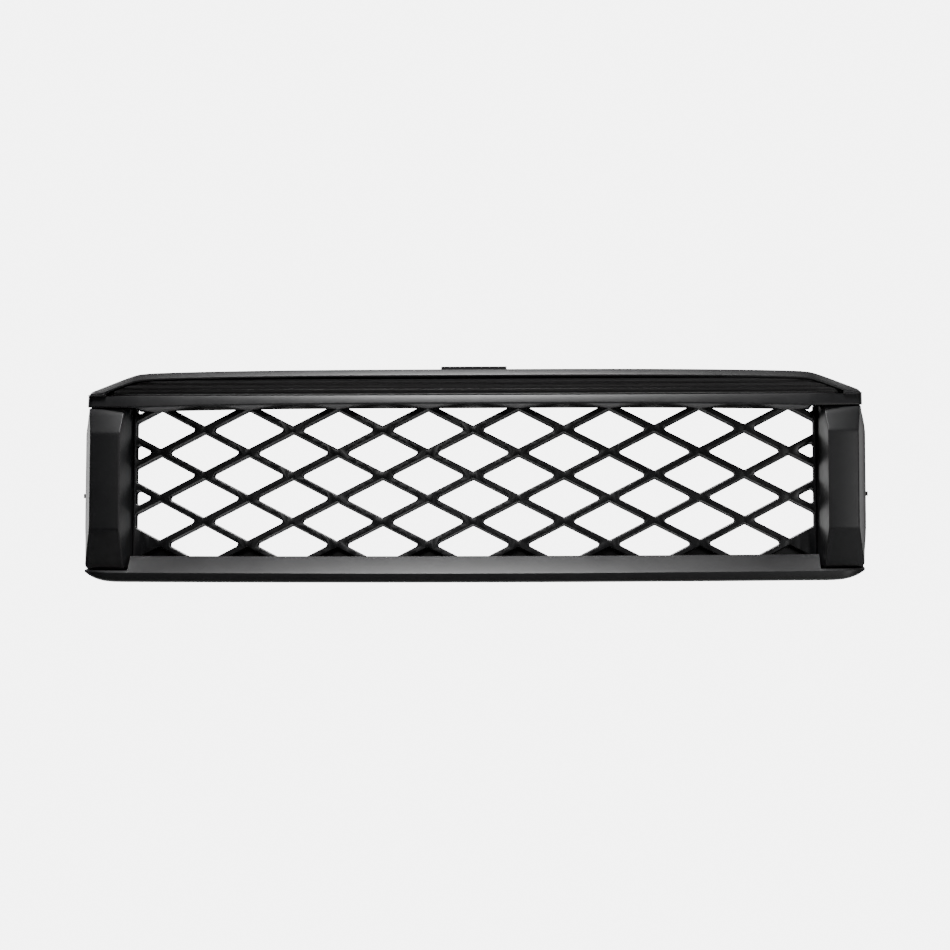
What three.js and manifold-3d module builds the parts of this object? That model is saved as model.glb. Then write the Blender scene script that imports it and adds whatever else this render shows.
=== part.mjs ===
// Front grille of an off-road vehicle: upper bar with a ribbed strip, lower bar, two faceted
// end pillars and a diamond mesh, clamped from behind to a rear frame of two rails and two end
// brackets.  Millimetres.  +X is the width, the front faces -Y and +Z is up.
//
// Everything is first laid out on a flat face: x across, o (offset) going back from the front
// of the pillars, z up.  settle() then leans the face back and bows it in plan.
import * as THREE from "three";
import { mergeVertices } from "three/addons/utils/BufferGeometryUtils.js";
import Module from "manifold-3d";

const wasm = await Module();
wasm.setup();

// ---- Driving dimensions ---------------------------------------------------------------------
const BOW_RADIUS = 2200;          // plan radius of the whole face
const RAKE = THREE.MathUtils.degToRad(10);
const GAP = 0.3;                  // clearance between touching pieces

const BAR_TOP = 124;              // highest line of the upper bar
const BAR_NOSE = 84.8;            // lower front edge of the upper bar
const BAR_HALF = 447.2;           // half length of the upper bar
const BAR_CROWN = 6;              // the upper bar drops this much towards its ends
const BAR_BACK = 47.5;            // rear edge of both bars
const SHOULDER_SLOPE = 0.35;      // fall of the outline at both upper corners
const SHOULDER_END = 105.6;       // height of the outline at the very end
const SHOULDER_REACH = 440;
const SHOULDER_BLEND = 3;         // softness of the change from flat top to slope
const END_TURN_START = 389;       // from here the bar's face turns back
const END_TURN = 6;
const LIP_HEIGHT = 6.4;
const UNDERSIDE_STEP = [386, 390.5]; // where the underside levels off over the pillars
const UNDERSIDE = 78.4;           // rear edge of the upper bar's underside

const RECESS_LOW = 94.4;          // recess for the ribbed strip
const RECESS_LIFT = 5;            // the recess's lower edge rises this much towards its tips
const RECESS_FLOOR = 20;
const RECESS_HALF = 425;
const RIB_DEPTH = 1.6;
const RIB_COUNT = 3;
const STRIP_SHADOW = 1.8;         // open groove above the strip

const SILL_TOP = -89.4;           // lower bar: top of its bevel
const SILL_EDGE = -106.9;         // bevel meets the lower face
const SILL_BOTTOM = -118;
const SILL_CROWN = 0.9;           // the sill drops this much towards its ends
const SILL_CROWN_REACH = 370;
const SILL_BEVEL_HALF = 396.6;
const SILL_HALF = 448.5;
const SILL_END_RISE = 11;         // the lower edge curves up at both ends
const SILL_END_TURN = 7;          // and the front face turns back

const PILLAR_TOP = 79.1;
const PILLAR_UPPER_CREASE = 51.9;
const PILLAR_LOWER_CREASE = -58;
const PILLAR_BOTTOM = -104.2;
const PILLAR_INNER = 407;         // inner edge of the front facet
const PILLAR_OUTER = 442;
const PILLAR_REAR = 452;          // the side wall bulges out to here at the rear
const PILLAR_WALL = 3;
const PILLAR_SETBACK_TOP = 14;    // the upper facet ends this far behind the middle one
const PILLAR_SETBACK_BOTTOM = 16;
const INNER_DRAFT = 0.298;        // slope of the wall beside the mesh

const MESH_FRONT = 38;
const MESH_DEPTH = 20;
const MESH_PITCH_X = 104.1;
const MESH_PITCH_Z = 52.4;
const MESH_BAR = 6.2;             // thickness of a mesh bar seen from the front
const MESH_HALF = 393.6;
const MESH_LOW = -96;
const MESH_HIGH = 80.2;
const MESH_CENTRE_Z = 2.8;        // height of the opening in the middle of the mesh
const MESH_SIDE = 393;            // openings stop here, measured along the bow
const FLANGE_FRONT = 44;
const FLANGE_BACK = 48;
const FLANGE_HALF = 412;
const FLANGE_LOW = -108.5;
const FLANGE_HIGH = 92.6;

const RAIL_FRONT = FLANGE_BACK + GAP;
const RAIL_BACK = RAIL_FRONT + 3;
const RAIL_HALF = 434;
const TAB_X = [-330, -120, 120, 330];
const CLIP_X = [-300, -110, 110, 300];
const CLAMP_X = [-350, -210, -70, 70, 210, 350];
const TAB_TOP = 112.5;
const CENTRE_TOP = 125.6;         // the middle tab just shows above the upper bar
const CLAMP_HIGH = 88;
const CLAMP_LOW = -103.6;
const PILLAR_SCREW_U = 425;
const PILLAR_SCREW_Z = [62, -84];
const CORNER_SCREW_U = 424;
const CORNER_SCREW_Z = [86, -112.2];

const FACE_STEPS = 12;            // straight runs that follow the bow of the long flat pieces

// ---- Placing and solid helpers --------------------------------------------------------------
const bow = (x) => BOW_RADIUS - Math.sqrt(BOW_RADIUS * BOW_RADIUS - x * x);
const setback = (x, z) => z * Math.tan(RAKE) + bow(x);

function eachVertex(geometry, place) {
  const position = geometry.attributes.position;
  for (let i = 0; i < position.count; i += 1) {
    const [x, y, z] = place(position.getX(i), position.getY(i), position.getZ(i));
    position.setXYZ(i, x, y, z);
  }
  return geometry;
}

// Leans and bows a laid-out geometry.
const settle = (geometry) => eachVertex(geometry, (x, o, z) => [x, o + setback(x, z), z]);

// Moves a geometry to where the settled face is at (x, z), without bending it.
function stand(geometry, x, z) {
  geometry.translate(0, setback(x, z), 0);
  return geometry;
}

function solid(geometry) {
  const bare = geometry.index ? geometry.toNonIndexed() : geometry.clone();
  bare.deleteAttribute("normal");
  bare.deleteAttribute("uv");
  const merged = mergeVertices(bare, 1e-4);
  return new wasm.Manifold(new wasm.Mesh({
    numProp: 3,
    vertProperties: Float32Array.from(merged.attributes.position.array),
    triVerts: Uint32Array.from(merged.index.array),
  }));
}

const join = (first, ...others) => others.reduce((sum, other) => sum.add(other), first);
const cut = (first, ...others) => others.reduce((rest, other) => rest.subtract(other), first);

function piece(name, body, material) {
  const { vertProperties, triVerts } = body.getMesh();
  const geometry = new THREE.BufferGeometry();
  geometry.setAttribute("position", new THREE.Float32BufferAttribute(vertProperties, 3));
  geometry.setIndex(Array.from(triVerts));
  geometry.computeVertexNormals();
  const mesh = new THREE.Mesh(geometry, material);
  mesh.name = name;
  return mesh;
}

// An outline of [o, z] points drawn out along x through the stations; reshape(x, o, z) gives
// the outline's [o, z] at each station.
function beam(outline, stations, reshape = (x, o, z) => [o, z]) {
  const shape = new THREE.Shape(outline.map(([o, z]) => new THREE.Vector2(o, z)));
  const steps = stations.length - 1;
  const geometry = new THREE.ExtrudeGeometry(shape, { depth: 1, steps, bevelEnabled: false });
  return solid(settle(eachVertex(geometry, (o, z, t) => {
    const x = stations[Math.round(t * steps)];
    return [x, ...reshape(x, o, z)];
  })));
}

// A box between two corners in (x, o, z), divided along x so that it follows the bow.
function box([x0, o0, z0], [x1, o1, z1], steps = 1) {
  const geometry = new THREE.BoxGeometry(x1 - x0, o1 - o0, z1 - z0, steps, 1, 1);
  return geometry.translate((x0 + x1) / 2, (o0 + o1) / 2, (z0 + z1) / 2);
}
const block = (low, high, steps) => solid(settle(box(low, high, steps)));
// A box that stays square to the vehicle, standing where the settled face is at its middle.
function squareBlock(low, high, x = (low[0] + high[0]) / 2, z = (low[2] + high[2]) / 2) {
  return solid(stand(box(low, high), x, z));
}

// A round peg running back from o0 to o1.
function peg(x, z, radius, o0, o1, sides = 12) {
  const geometry = new THREE.CylinderGeometry(radius, radius, o1 - o0, sides);
  return solid(settle(geometry.translate(x, (o0 + o1) / 2, z)));
}

// A round peg running straight back, not bent with the face.
function straightPeg(x, z, radius, o0, o1, sides = 12) {
  const geometry = new THREE.CylinderGeometry(radius, radius, o1 - o0, sides);
  return solid(stand(geometry.translate(x, (o0 + o1) / 2, z), x, z));
}

// An upright round post.
function post(x, o, radius, z0, z1, anchorZ, sides = 16) {
  const geometry = new THREE.CylinderGeometry(radius, radius, z1 - z0, sides);
  geometry.rotateX(Math.PI / 2).translate(x, o, (z0 + z1) / 2);
  return solid(stand(geometry, x, anchorZ));
}

function stationsBetween(from, to, count) {
  return Array.from({ length: count + 1 }, (_, i) => from + ((to - from) * i) / count);
}
const mirrored = (half) => [...half.map((x) => -x).reverse(), ...half];
const ramp = (value, from, to) => THREE.MathUtils.clamp((value - from) / (to - from), 0, 1);

// ---- Materials ------------------------------------------------------------------------------
const finish = (color, roughness, metalness) =>
  new THREE.MeshStandardMaterial({ color, roughness, metalness });
const satinBlack = finish(0x1b1c1e, 0.38, 0);
const glossBlack = finish(0x101113, 0.22, 0);
const ribBlack = finish(0x161617, 0.6, 0);
const framePlastic = finish(0x1f2022, 0.65, 0);
const screwSteel = finish(0x3a3b3d, 0.4, 1);
const zincSteel = finish(0xa9a79c, 0.35, 1);
const clipPlastic = finish(0x2c2d2f, 0.55, 0);

// ---- Upper bar ------------------------------------------------------------------------------
// Height of the bar's top line: flat, then a soft shoulder, then a straight slope.
function outlineTop(x) {
  const slope = SHOULDER_END + (SHOULDER_REACH - Math.abs(x)) * SHOULDER_SLOPE;
  const excess = (slope - BAR_TOP) / SHOULDER_BLEND;
  return BAR_TOP + SHOULDER_BLEND * 0.5 * (excess - Math.sqrt(excess * excess + 1));
}
const crown = (x) => -BAR_CROWN * Math.abs(x / SHOULDER_REACH) ** 3;

function endTurn(x) {
  const u = Math.abs(x);
  const corner = ramp(u, 441, BAR_HALF);
  return END_TURN * ramp(u, END_TURN_START, 436) + 5 * (1 - Math.sqrt(1 - corner * corner));
}

const barStations = mirrored([30, 90, 150, 210, 270, 330, 362, 376, 386, 390.5, 404, 415, 426,
  436, 441, 444.6, BAR_HALF]);

// Outlines below are [o, z] points; the bar's own outline runs over the lip, down the recess
// and the bevel to the nose, and back along the underside.
const SHOULDER_FLOOR = 98;        // the front's upper points never sink below this
const SEAM = 0.5;                 // open seam between the bar's ends and the pillars
const NOSE_STEP = 0.6;            // over the pillars the nose ends this far above the underside

function upperBarBody() {
  const outer = [[BAR_BACK, 117.4], [16, BAR_TOP], [9, BAR_TOP - LIP_HEIGHT], [12, 93.5],
    [7, BAR_NOSE], [36, UNDERSIDE], [BAR_BACK, UNDERSIDE]];
  return beam(outer, barStations, (x, o, z) => {
    const drop = BAR_TOP - outlineTop(x);
    const lift = ramp(Math.abs(x), ...UNDERSIDE_STEP);
    const seam = PILLAR_TOP + SEAM - crown(x);
    let height = z;
    if (z > 100) height = Math.max(z - drop, SHOULDER_FLOOR);
    if (Math.abs(z - BAR_NOSE) < 1) height = z + (seam + NOSE_STEP - z) * lift;
    if (z < BAR_NOSE - 1) height = z + (seam - z) * lift;
    return [o < 30 ? o + endTurn(x) : o, height + crown(x)];
  });
}

function upperBarCavity() {
  const inner = [[60, 111], [23.5, 111], [23.5, 91.4], [16, 90.7], [12, 87.6], [36, 81.6],
    [60, 81.6]];
  const stations = barStations.filter((x) => Math.abs(x) <= 415);
  return beam(inner, stations, (x, o, z) => {
    const drop = BAR_TOP - outlineTop(x);
    const lift = ramp(Math.abs(x), ...UNDERSIDE_STEP) * 4;
    const height = z > 100 ? z - drop : z;
    const turn = o < 20 ? endTurn(x) : 0;
    return [o + turn, (z < 84 ? height + lift : height) + crown(x)];
  });
}

// The recess and the strip in it keep below the lip and taper to a point at both ends.
const recessLow = (x) => RECESS_LOW + RECESS_LIFT * Math.abs(x / RECESS_HALF) ** 3;
function recessTop(x, clearance) {
  return Math.max(outlineTop(x) - LIP_HEIGHT - 1.5 - clearance, recessLow(x) + 0.4 + clearance);
}

function recess() {
  const room = [[-5, RECESS_LOW], [RECESS_FLOOR, RECESS_LOW], [RECESS_FLOOR, BAR_TOP],
    [-5, BAR_TOP]];
  const stations = barStations.filter((x) => Math.abs(x) < RECESS_HALF);
  return beam([...room].reverse(), [-RECESS_HALF, ...stations, RECESS_HALF], (x, o, z) => [
    o, (z > 100 ? recessTop(x, 0) : recessLow(x)) + crown(x),
  ]);
}

function upperBar() {
  const bosses = CLAMP_X.map((x) => peg(x, CLAMP_HIGH, 4.6, 13, FLANGE_FRONT - GAP));
  const holes = CLAMP_X.map((x) => peg(x, CLAMP_HIGH, 2.3, 20, 60));
  const cornerHoles = [-1, 1].map((side) =>
    peg(side * CORNER_SCREW_U, CORNER_SCREW_Z[0], 2.3, 30, 60));
  const flangePocket = block([-FLANGE_HALF - 1, FLANGE_FRONT - GAP, 60],
    [FLANGE_HALF + 1, 60, FLANGE_HIGH + 0.6], FACE_STEPS);
  const corePocket = block([-MESH_HALF - 0.5, MESH_FRONT - 0.4, 60],
    [MESH_HALF + 0.5, 60, MESH_HIGH + 0.4], FACE_STEPS);
  const shell = cut(upperBarBody(), recess(), upperBarCavity(), flangePocket, corePocket);
  return piece("upper_bar", cut(join(shell, ...bosses), ...holes, ...cornerHoles), satinBlack);
}

function upperRibStrip() {
  const face = RECESS_FLOOR - 5;
  const low = RECESS_LOW + GAP;
  const high = BAR_TOP;
  const pitch = (high - low) / RIB_COUNT;
  const front = [];
  for (let i = 0; i < RIB_COUNT; i += 1) {
    const z = low + pitch * i;
    front.push([face + RIB_DEPTH, z], [face, z + pitch * 0.25], [face, z + pitch * 0.75]);
  }
  front.push([face + RIB_DEPTH, high]);
  const outline = [[RECESS_FLOOR - GAP, high], [RECESS_FLOOR - GAP, low]].concat(front).reverse();
  const stations = barStations.filter((x) => Math.abs(x) < 416);
  const body = beam(outline, stations, (x, o, z) => {
    const share = (z - low) / (high - low);
    const foot = recessLow(x) + GAP;
    const height = Math.max(recessTop(x, STRIP_SHADOW) - foot, 0.6) * share;
    return [o, foot + height + crown(x)];
  });
  return piece("upper_rib_strip", body, ribBlack);
}

// ---- Lower bar ------------------------------------------------------------------------------
const sillCrown = (x) => -SILL_CROWN * (x / SILL_CROWN_REACH) ** 2;
const sillStations = mirrored([30, 90, 150, 210, 270, 330, 375, SILL_BEVEL_HALF,
  SILL_BEVEL_HALF + 0.7, 412, 424, 436, 443, SILL_HALF]);

function lowerBar() {
  const outer = [[BAR_BACK, SILL_BOTTOM + 2], [BAR_BACK, -109.4], [FLANGE_FRONT - 0.5, -109.4],
    [FLANGE_FRONT - 0.5, -100.4], [37, -100.4], [37, SILL_TOP], [30, SILL_TOP],
    [8, SILL_EDGE], [9.5, SILL_BOTTOM + 1.8], [13, SILL_BOTTOM]];
  const body = beam([...outer].reverse(), sillStations, (x, o, z) => {
    const u = Math.abs(x);
    const flat = ramp(u, SILL_BEVEL_HALF, SILL_BEVEL_HALF + 0.7);
    const ledge = PILLAR_BOTTOM - 1.6;
    const rise = SILL_END_RISE * ramp(u, 400, SILL_HALF) ** 3.2;
    const turn = SILL_END_TURN * ramp(u, 424, SILL_HALF) ** 2;
    let height = z;
    if (z > SILL_EDGE) height += sillCrown(x) + (ledge - z - sillCrown(x)) * flat;
    if (z < SILL_EDGE - 5) height += sillCrown(x) + rise;
    return [o < 30 ? o + turn : o, height];
  });
  const inner = [[60, -114.2], [60, -98], [34, -98], [34, -93], [29, -93], [12.5, -106.2],
    [13.5, -114.8]];
  const cavity = beam([...inner].reverse(), sillStations.filter((x) => Math.abs(x) < 390));
  const bosses = CLAMP_X.map((x) => peg(x, CLAMP_LOW, 4.6, 19, FLANGE_FRONT - GAP));
  const holes = CLAMP_X.map((x) => peg(x, CLAMP_LOW, 2.3, 26, 60));
  const cornerHoles = [-1, 1].map((side) =>
    peg(side * CORNER_SCREW_U, CORNER_SCREW_Z[1], 2.3, 30, 60));
  const pillarRoom = [-1, 1].map((side) => pillarForm(side, -GAP, 60));
  const shell = join(cut(body, cavity), ...bosses);
  return piece("lower_bar", cut(shell, ...holes, ...cornerHoles, ...pillarRoom), satinBlack);
}

// ---- Pillars --------------------------------------------------------------------------------
// From the top: the front face's setback, and how far out the front and rear edges are.
const pillarLevels = [
  { z: PILLAR_TOP, front: PILLAR_SETBACK_TOP, outer: 445.2, rear: 446.2 },
  { z: PILLAR_UPPER_CREASE, front: 0, outer: PILLAR_OUTER, rear: 450.6 },
  { z: -4, front: 0, outer: PILLAR_OUTER, rear: PILLAR_REAR },
  { z: PILLAR_LOWER_CREASE, front: 0, outer: PILLAR_OUTER, rear: 450.8 },
  { z: PILLAR_BOTTOM + 6, front: PILLAR_SETBACK_BOTTOM - 1.8, outer: 448.4, rear: 449 },
  { z: PILLAR_BOTTOM, front: PILLAR_SETBACK_BOTTOM, outer: 446.4, rear: 447 },
];

// A channel with its open side to the rear; wall is how far the surface moves inwards.
function pillarForm(side, wall, back) {
  const levels = pillarLevels.length - 1;
  const geometry = new THREE.BoxGeometry(1, 1, 1, 1, 1, levels);
  const form = eachVertex(geometry, (a, b, c) => {
    const level = pillarLevels[Math.round((0.5 - c) * levels)];
    const front = level.front + wall;
    const isFront = b < 0;
    const o = isFront ? front : back;
    const inner = PILLAR_INNER - INNER_DRAFT * o + wall;
    const outer = (isFront ? level.outer : level.rear) - wall;
    const inset = c > 0.49 ? -wall : wall;
    const z = Math.abs(c) > 0.49 ? level.z + inset : level.z;
    const outward = side > 0 ? a > 0 : a < 0;
    return [side * (outward ? outer : inner), o, z];
  });
  return solid(settle(form));
}

function pillar(side, name) {
  const shell = cut(pillarForm(side, 0, FLANGE_FRONT - GAP), pillarForm(side, PILLAR_WALL, 60));
  const bosses = PILLAR_SCREW_Z.map((z) =>
    peg(side * PILLAR_SCREW_U, z, 4.6, 10, RAIL_FRONT - GAP));
  const holes = PILLAR_SCREW_Z.map((z) => peg(side * PILLAR_SCREW_U, z, 2.3, 25, 60));
  return piece(name, cut(join(shell, ...bosses), ...holes), satinBlack);
}

// ---- Mesh -----------------------------------------------------------------------------------
// Half sizes of one opening between the bars, and how much its side tips are cut off.
const cellSlope = Math.atan2(MESH_PITCH_Z, MESH_PITCH_X);
const openingHalfZ = MESH_PITCH_Z / 2 - MESH_BAR / (2 * Math.cos(cellSlope));
const openingHalfX = (openingHalfZ * MESH_PITCH_X) / MESH_PITCH_Z;
const TIP_CUT = 3;

// The opening's outline, stopped by a straight edge at the mesh's side.
function openingOutline(centreX, centreZ) {
  const tipX = openingHalfX - TIP_CUT;
  const tipZ = (TIP_CUT * openingHalfZ) / openingHalfX;
  const corners = [[tipX, -tipZ], [tipX, tipZ], [0, openingHalfZ], [-tipX, tipZ],
    [-tipX, -tipZ], [0, -openingHalfZ]];
  const points = corners.map(([x, z]) => new THREE.Vector2(centreX + x, centreZ + z));
  return clipToSide(clipToSide(points, 1), -1);
}

// Cuts a convex outline off at x = side * MESH_SIDE.
function clipToSide(points, side) {
  const kept = [];
  points.forEach((point, i) => {
    const next = points[(i + 1) % points.length];
    const here = MESH_SIDE - side * point.x;
    const there = MESH_SIDE - side * next.x;
    if (here >= 0) kept.push(point);
    if (here * there < 0) kept.push(point.clone().lerp(next, here / (here - there)));
  });
  return kept;
}

// A cutter through the mesh, square to the leaning face, laid out along the bow's arc.
function openingCutter(points) {
  const shape = new THREE.Shape(points);
  const reach = 60;
  const start = 20;
  const fall = Math.sin(RAKE) * Math.cos(RAKE);
  const geometry = new THREE.ExtrudeGeometry(shape, { depth: reach, bevelEnabled: false });
  return solid(settle(eachVertex(geometry, (s, z, d) => {
    const o = start + reach - d;
    return [BOW_RADIUS * Math.sin(s / BOW_RADIUS), o, z - (o - MESH_FRONT) * fall];
  })));
}

function meshInsert() {
  const lean = MESH_DEPTH * Math.sin(RAKE);
  const rear = MESH_FRONT + MESH_DEPTH / Math.cos(RAKE);
  const core = [[MESH_FRONT, MESH_LOW], [rear, MESH_LOW - lean], [rear, MESH_HIGH - lean],
    [MESH_FRONT, MESH_HIGH]];
  let body = join(
    beam(core, stationsBetween(-MESH_HALF, MESH_HALF, FACE_STEPS)),
    block([-FLANGE_HALF, FLANGE_FRONT, FLANGE_LOW], [FLANGE_HALF, FLANGE_BACK, FLANGE_HIGH],
      FACE_STEPS),
  );
  for (let row = -3; row <= 3; row += 1) {
    const shift = row % 2 === 0 ? 0.5 : 0;
    for (let column = -5; column <= 5; column += 1) {
      const points = openingOutline(
        (column + shift) * MESH_PITCH_X, MESH_CENTRE_Z + (row * MESH_PITCH_Z) / 2);
      const width = points.length ? Math.max(...points.map((p) => p.x)) -
        Math.min(...points.map((p) => p.x)) : 0;
      const isFilled = row === -3 && Math.abs(column) > 3;
      if (width > 9 && !isFilled) body = cut(body, openingCutter(points));
    }
  }
  const holes = CLAMP_X.flatMap((x) => [
    peg(x, CLAMP_HIGH, 2.6, 30, 60), peg(x, CLAMP_LOW, 2.6, 30, 60)]);
  return piece("mesh_insert", cut(body, ...holes), glossBlack);
}

// ---- Rear frame -----------------------------------------------------------------------------
const railStations = mirrored([30, 90, 150, 210, 270, 330, 365, 398, 404, 420, RAIL_HALF]);
// The rails' legs, which stiffen them, stop short of the end brackets.
const legDepth = (x, o) => Math.min(o, 66 - (66 - RAIL_BACK) * ramp(Math.abs(x), 398, 404));
const railTop = (x) => Math.min(TAB_TOP, outlineTop(x) + crown(x) - 8);

function topRail() {
  const outline = [[RAIL_FRONT, 82], [RAIL_BACK, 82], [RAIL_BACK, 108.5], [66, 108.5],
    [66, 111.5], [RAIL_FRONT, 111.5]];
  const body = beam(outline, railStations, (x, o, z) => {
    const drop = Math.max(0, TAB_TOP - railTop(x));
    return [legDepth(x, o), z > 100 ? z - drop : z];
  });
  const tabs = TAB_X.map((x) => squareBlock([x - 23, 56, TAB_TOP - 4], [x + 23, 98, TAB_TOP]));
  const tabHoles = TAB_X.map((x) => post(x, 80, 5.4, 100, 125, TAB_TOP - 2));
  const centre = [
    squareBlock([-37.5, 49, CENTRE_TOP - 3.6], [37.5, 84, CENTRE_TOP]),
    squareBlock([-37.5, 49, 110], [-34, 80, CENTRE_TOP - 2]),
    squareBlock([34, 49, 110], [37.5, 80, CENTRE_TOP - 2]),
    squareBlock([-37.5, 49, 110], [37.5, 52.4, CENTRE_TOP - 2]),
  ];
  const ribs = stationsBetween(-360, 360, 8).map((x) =>
    block([x - 1.2, RAIL_FRONT + 1, 84], [x + 1.2, 62, 110]));
  const screwHoles = CLAMP_X.map((x) => peg(x, CLAMP_HIGH, 2.6, 40, 60));
  const cornerHoles = [-1, 1].map((side) =>
    peg(side * CORNER_SCREW_U, CORNER_SCREW_Z[0], 2.6, 40, 60));
  const slot = squareBlock([-12, 62, 115], [12, 70, 130]);
  const whole = join(body, ...tabs, ...centre, ...ribs);
  return piece("top_rail", cut(whole, ...tabHoles, ...screwHoles, ...cornerHoles, slot),
    framePlastic);
}

const CLIP_SEAT_BACK = 84;
const CLIP_Z = -108;
const SEAT_LOW = CLIP_Z - 9;
const SEAT_HIGH = CLIP_Z + 8;

function bottomRail() {
  const outline = [[RAIL_FRONT, -117], [66, -117], [66, -114], [RAIL_BACK, -114],
    [RAIL_BACK, -99.8], [RAIL_FRONT, -99.8]];
  const body = beam(outline, railStations, (x, o, z) => {
    const rise = 5 * ramp(Math.abs(x), 400, RAIL_HALF) ** 2;
    return [legDepth(x, o), z < -110 ? z + rise : z];
  });
  const seats = CLIP_X.flatMap((x) => [
    squareBlock([x - 16, RAIL_BACK + 3, SEAT_LOW], [x + 16, CLIP_SEAT_BACK, SEAT_HIGH]),
    block([x - 16, RAIL_FRONT + 1, -116.4], [x + 16, RAIL_BACK + 6, SEAT_HIGH])]);
  const pockets = CLIP_X.map((x) => squareBlock(
    [x - 13, RAIL_BACK + 6, SEAT_LOW + 2], [x + 13, CLIP_SEAT_BACK - 3, CLIP_Z + 20]));
  const clipHoles = CLIP_X.map((x) => straightPeg(x, CLIP_Z, 4.3, 70, 100, 16));
  const ribs = [-360, -240, -180, 0, 180, 240, 360].map((x) =>
    block([x - 1.2, RAIL_FRONT + 1, -116], [x + 1.2, 62, -103]));
  const screwHoles = CLAMP_X.map((x) => peg(x, CLAMP_LOW, 2.6, 40, 60));
  const cornerHoles = [-1, 1].map((side) =>
    peg(side * CORNER_SCREW_U, CORNER_SCREW_Z[1], 2.6, 40, 60));
  const whole = cut(join(body, ...seats), ...pockets);
  return piece("bottom_rail", cut(join(whole, ...ribs), ...clipHoles, ...screwHoles,
    ...cornerHoles), framePlastic);
}

const EAR_FRONT = RAIL_BACK + GAP;
const EAR_BACK = EAR_FRONT + 3;
const SIDE_TAB_U = 440;
const SIDE_TAB_Z = -23;
const LUG_REACH = 454.5;          // a small locating lug shows past the pillar's rear edge
const SIDE_TAB_FRONT = 72;
const SIDE_TAB_BACK = 75;

// Orders the two u values so that the block is valid on either side.
function sideCorners(side, [u0, o0, z0], [u1, o1, z1]) {
  const [x0, x1] = side > 0 ? [u0, u1] : [-u1, -u0];
  return [[x0, o0, z0], [x1, o1, z1]];
}
const sideBlock = (side, low, high, steps) => block(...sideCorners(side, low, high), steps);
const sideSquareBlock = (side, low, high) =>
  squareBlock(...sideCorners(side, low, high), side * SIDE_TAB_U, SIDE_TAB_Z);

function endBracket(side, name) {
  const web = sideBlock(side, [396, RAIL_FRONT, -99.4], [440, RAIL_BACK, 81.6], 2);
  const ears = [
    sideBlock(side, [406, EAR_FRONT, 55], [434, EAR_BACK, 94]),
    sideBlock(side, [406, EAR_FRONT, -116.4], [434, EAR_BACK, -70]),
    sideBlock(side, [406, RAIL_BACK - 1, 55], [434, EAR_BACK, 81.6]),
    sideBlock(side, [406, RAIL_BACK - 1, -99.4], [434, EAR_BACK, -70]),
  ];
  const rib = sideBlock(side, [424, RAIL_BACK - 1, -60], [427, SIDE_TAB_BACK + 2, 45]);
  const innerRib = sideBlock(side, [398, RAIL_BACK - 1, -90], [400.5, 60, 74]);
  const tab = sideSquareBlock(side, [425, SIDE_TAB_FRONT, SIDE_TAB_Z - 22],
    [450, SIDE_TAB_BACK, SIDE_TAB_Z + 15]);
  const screwHoles = PILLAR_SCREW_Z.map((z) => peg(side * PILLAR_SCREW_U, z, 2.6, 40, 60));
  const cornerHoles = CORNER_SCREW_Z.map((z) => peg(side * CORNER_SCREW_U, z, 2.6, 40, 60));
  const tabHole = straightPeg(side * SIDE_TAB_U, SIDE_TAB_Z, 4.2, 60, 90, 16);
  const lug = sideBlock(side, [438, RAIL_FRONT, SIDE_TAB_Z - 2.5],
    [LUG_REACH, RAIL_BACK, SIDE_TAB_Z + 2.5]);
  const whole = join(web, ...ears, rib, innerRib, tab, lug);
  return piece(name, cut(whole, ...screwHoles, ...cornerHoles, tabHole), framePlastic);
}

// ---- Fasteners ------------------------------------------------------------------------------
// A pan-head screw pushed in from the rear; its head bears on the face at seat.
function screw(name, x, z, seat, length) {
  const profile = [[0, 3], [3.2, 2.6], [4, 0], [1.9, 0], [1.9, -length], [0, -length]];
  const points = profile.map(([r, h]) => new THREE.Vector2(r, h)).reverse();
  const geometry = new THREE.LatheGeometry(points, 8);
  geometry.translate(0, seat + GAP, 0);
  geometry.translate(x, 0, z);
  return piece(name, solid(settle(geometry)), screwSteel);
}

function limiter(name, x) {
  const outer = post(x, 80, 5.1, TAB_TOP - 4.3, TAB_TOP + 0.3, TAB_TOP - 2);
  const bore = post(x, 80, 3.4, 100, 125, TAB_TOP - 2);
  return piece(name, cut(outer, bore), zincSteel);
}

function lowerClip(name, x) {
  const profile = [[0, 16], [2, 15], [4.6, 7], [4, 3.4], [4, -3.4], [6.5, -3.6], [6.5, -5.4],
    [0, -5.4]];
  const points = profile.map(([r, h]) => new THREE.Vector2(r, h)).reverse();
  const geometry = new THREE.LatheGeometry(points, 12);
  geometry.translate(x, CLIP_SEAT_BACK, CLIP_Z);
  return piece(name, solid(stand(geometry, x, CLIP_Z)), clipPlastic);
}

function clipNut(side, name) {
  const u0 = SIDE_TAB_U - 7;
  const u1 = SIDE_TAB_U + 7;
  const low = SIDE_TAB_Z - 9;
  const top = SIDE_TAB_Z + 15 + GAP;
  const front = SIDE_TAB_FRONT - GAP;
  const back = SIDE_TAB_BACK + GAP;
  const body = join(
    sideSquareBlock(side, [u0, front - 1, low], [u1, front, top + 1]),
    sideSquareBlock(side, [u0, back, low], [u1, back + 1, top + 1]),
    sideSquareBlock(side, [u0, front - 1, top], [u1, back + 1, top + 1]),
    straightPeg(side * SIDE_TAB_U, SIDE_TAB_Z, 4.8, back + 0.5, back + 6),
  );
  const thread = straightPeg(side * SIDE_TAB_U, SIDE_TAB_Z, 2.6, 60, 100);
  return piece(name, cut(body, thread), zincSteel);
}

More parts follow.
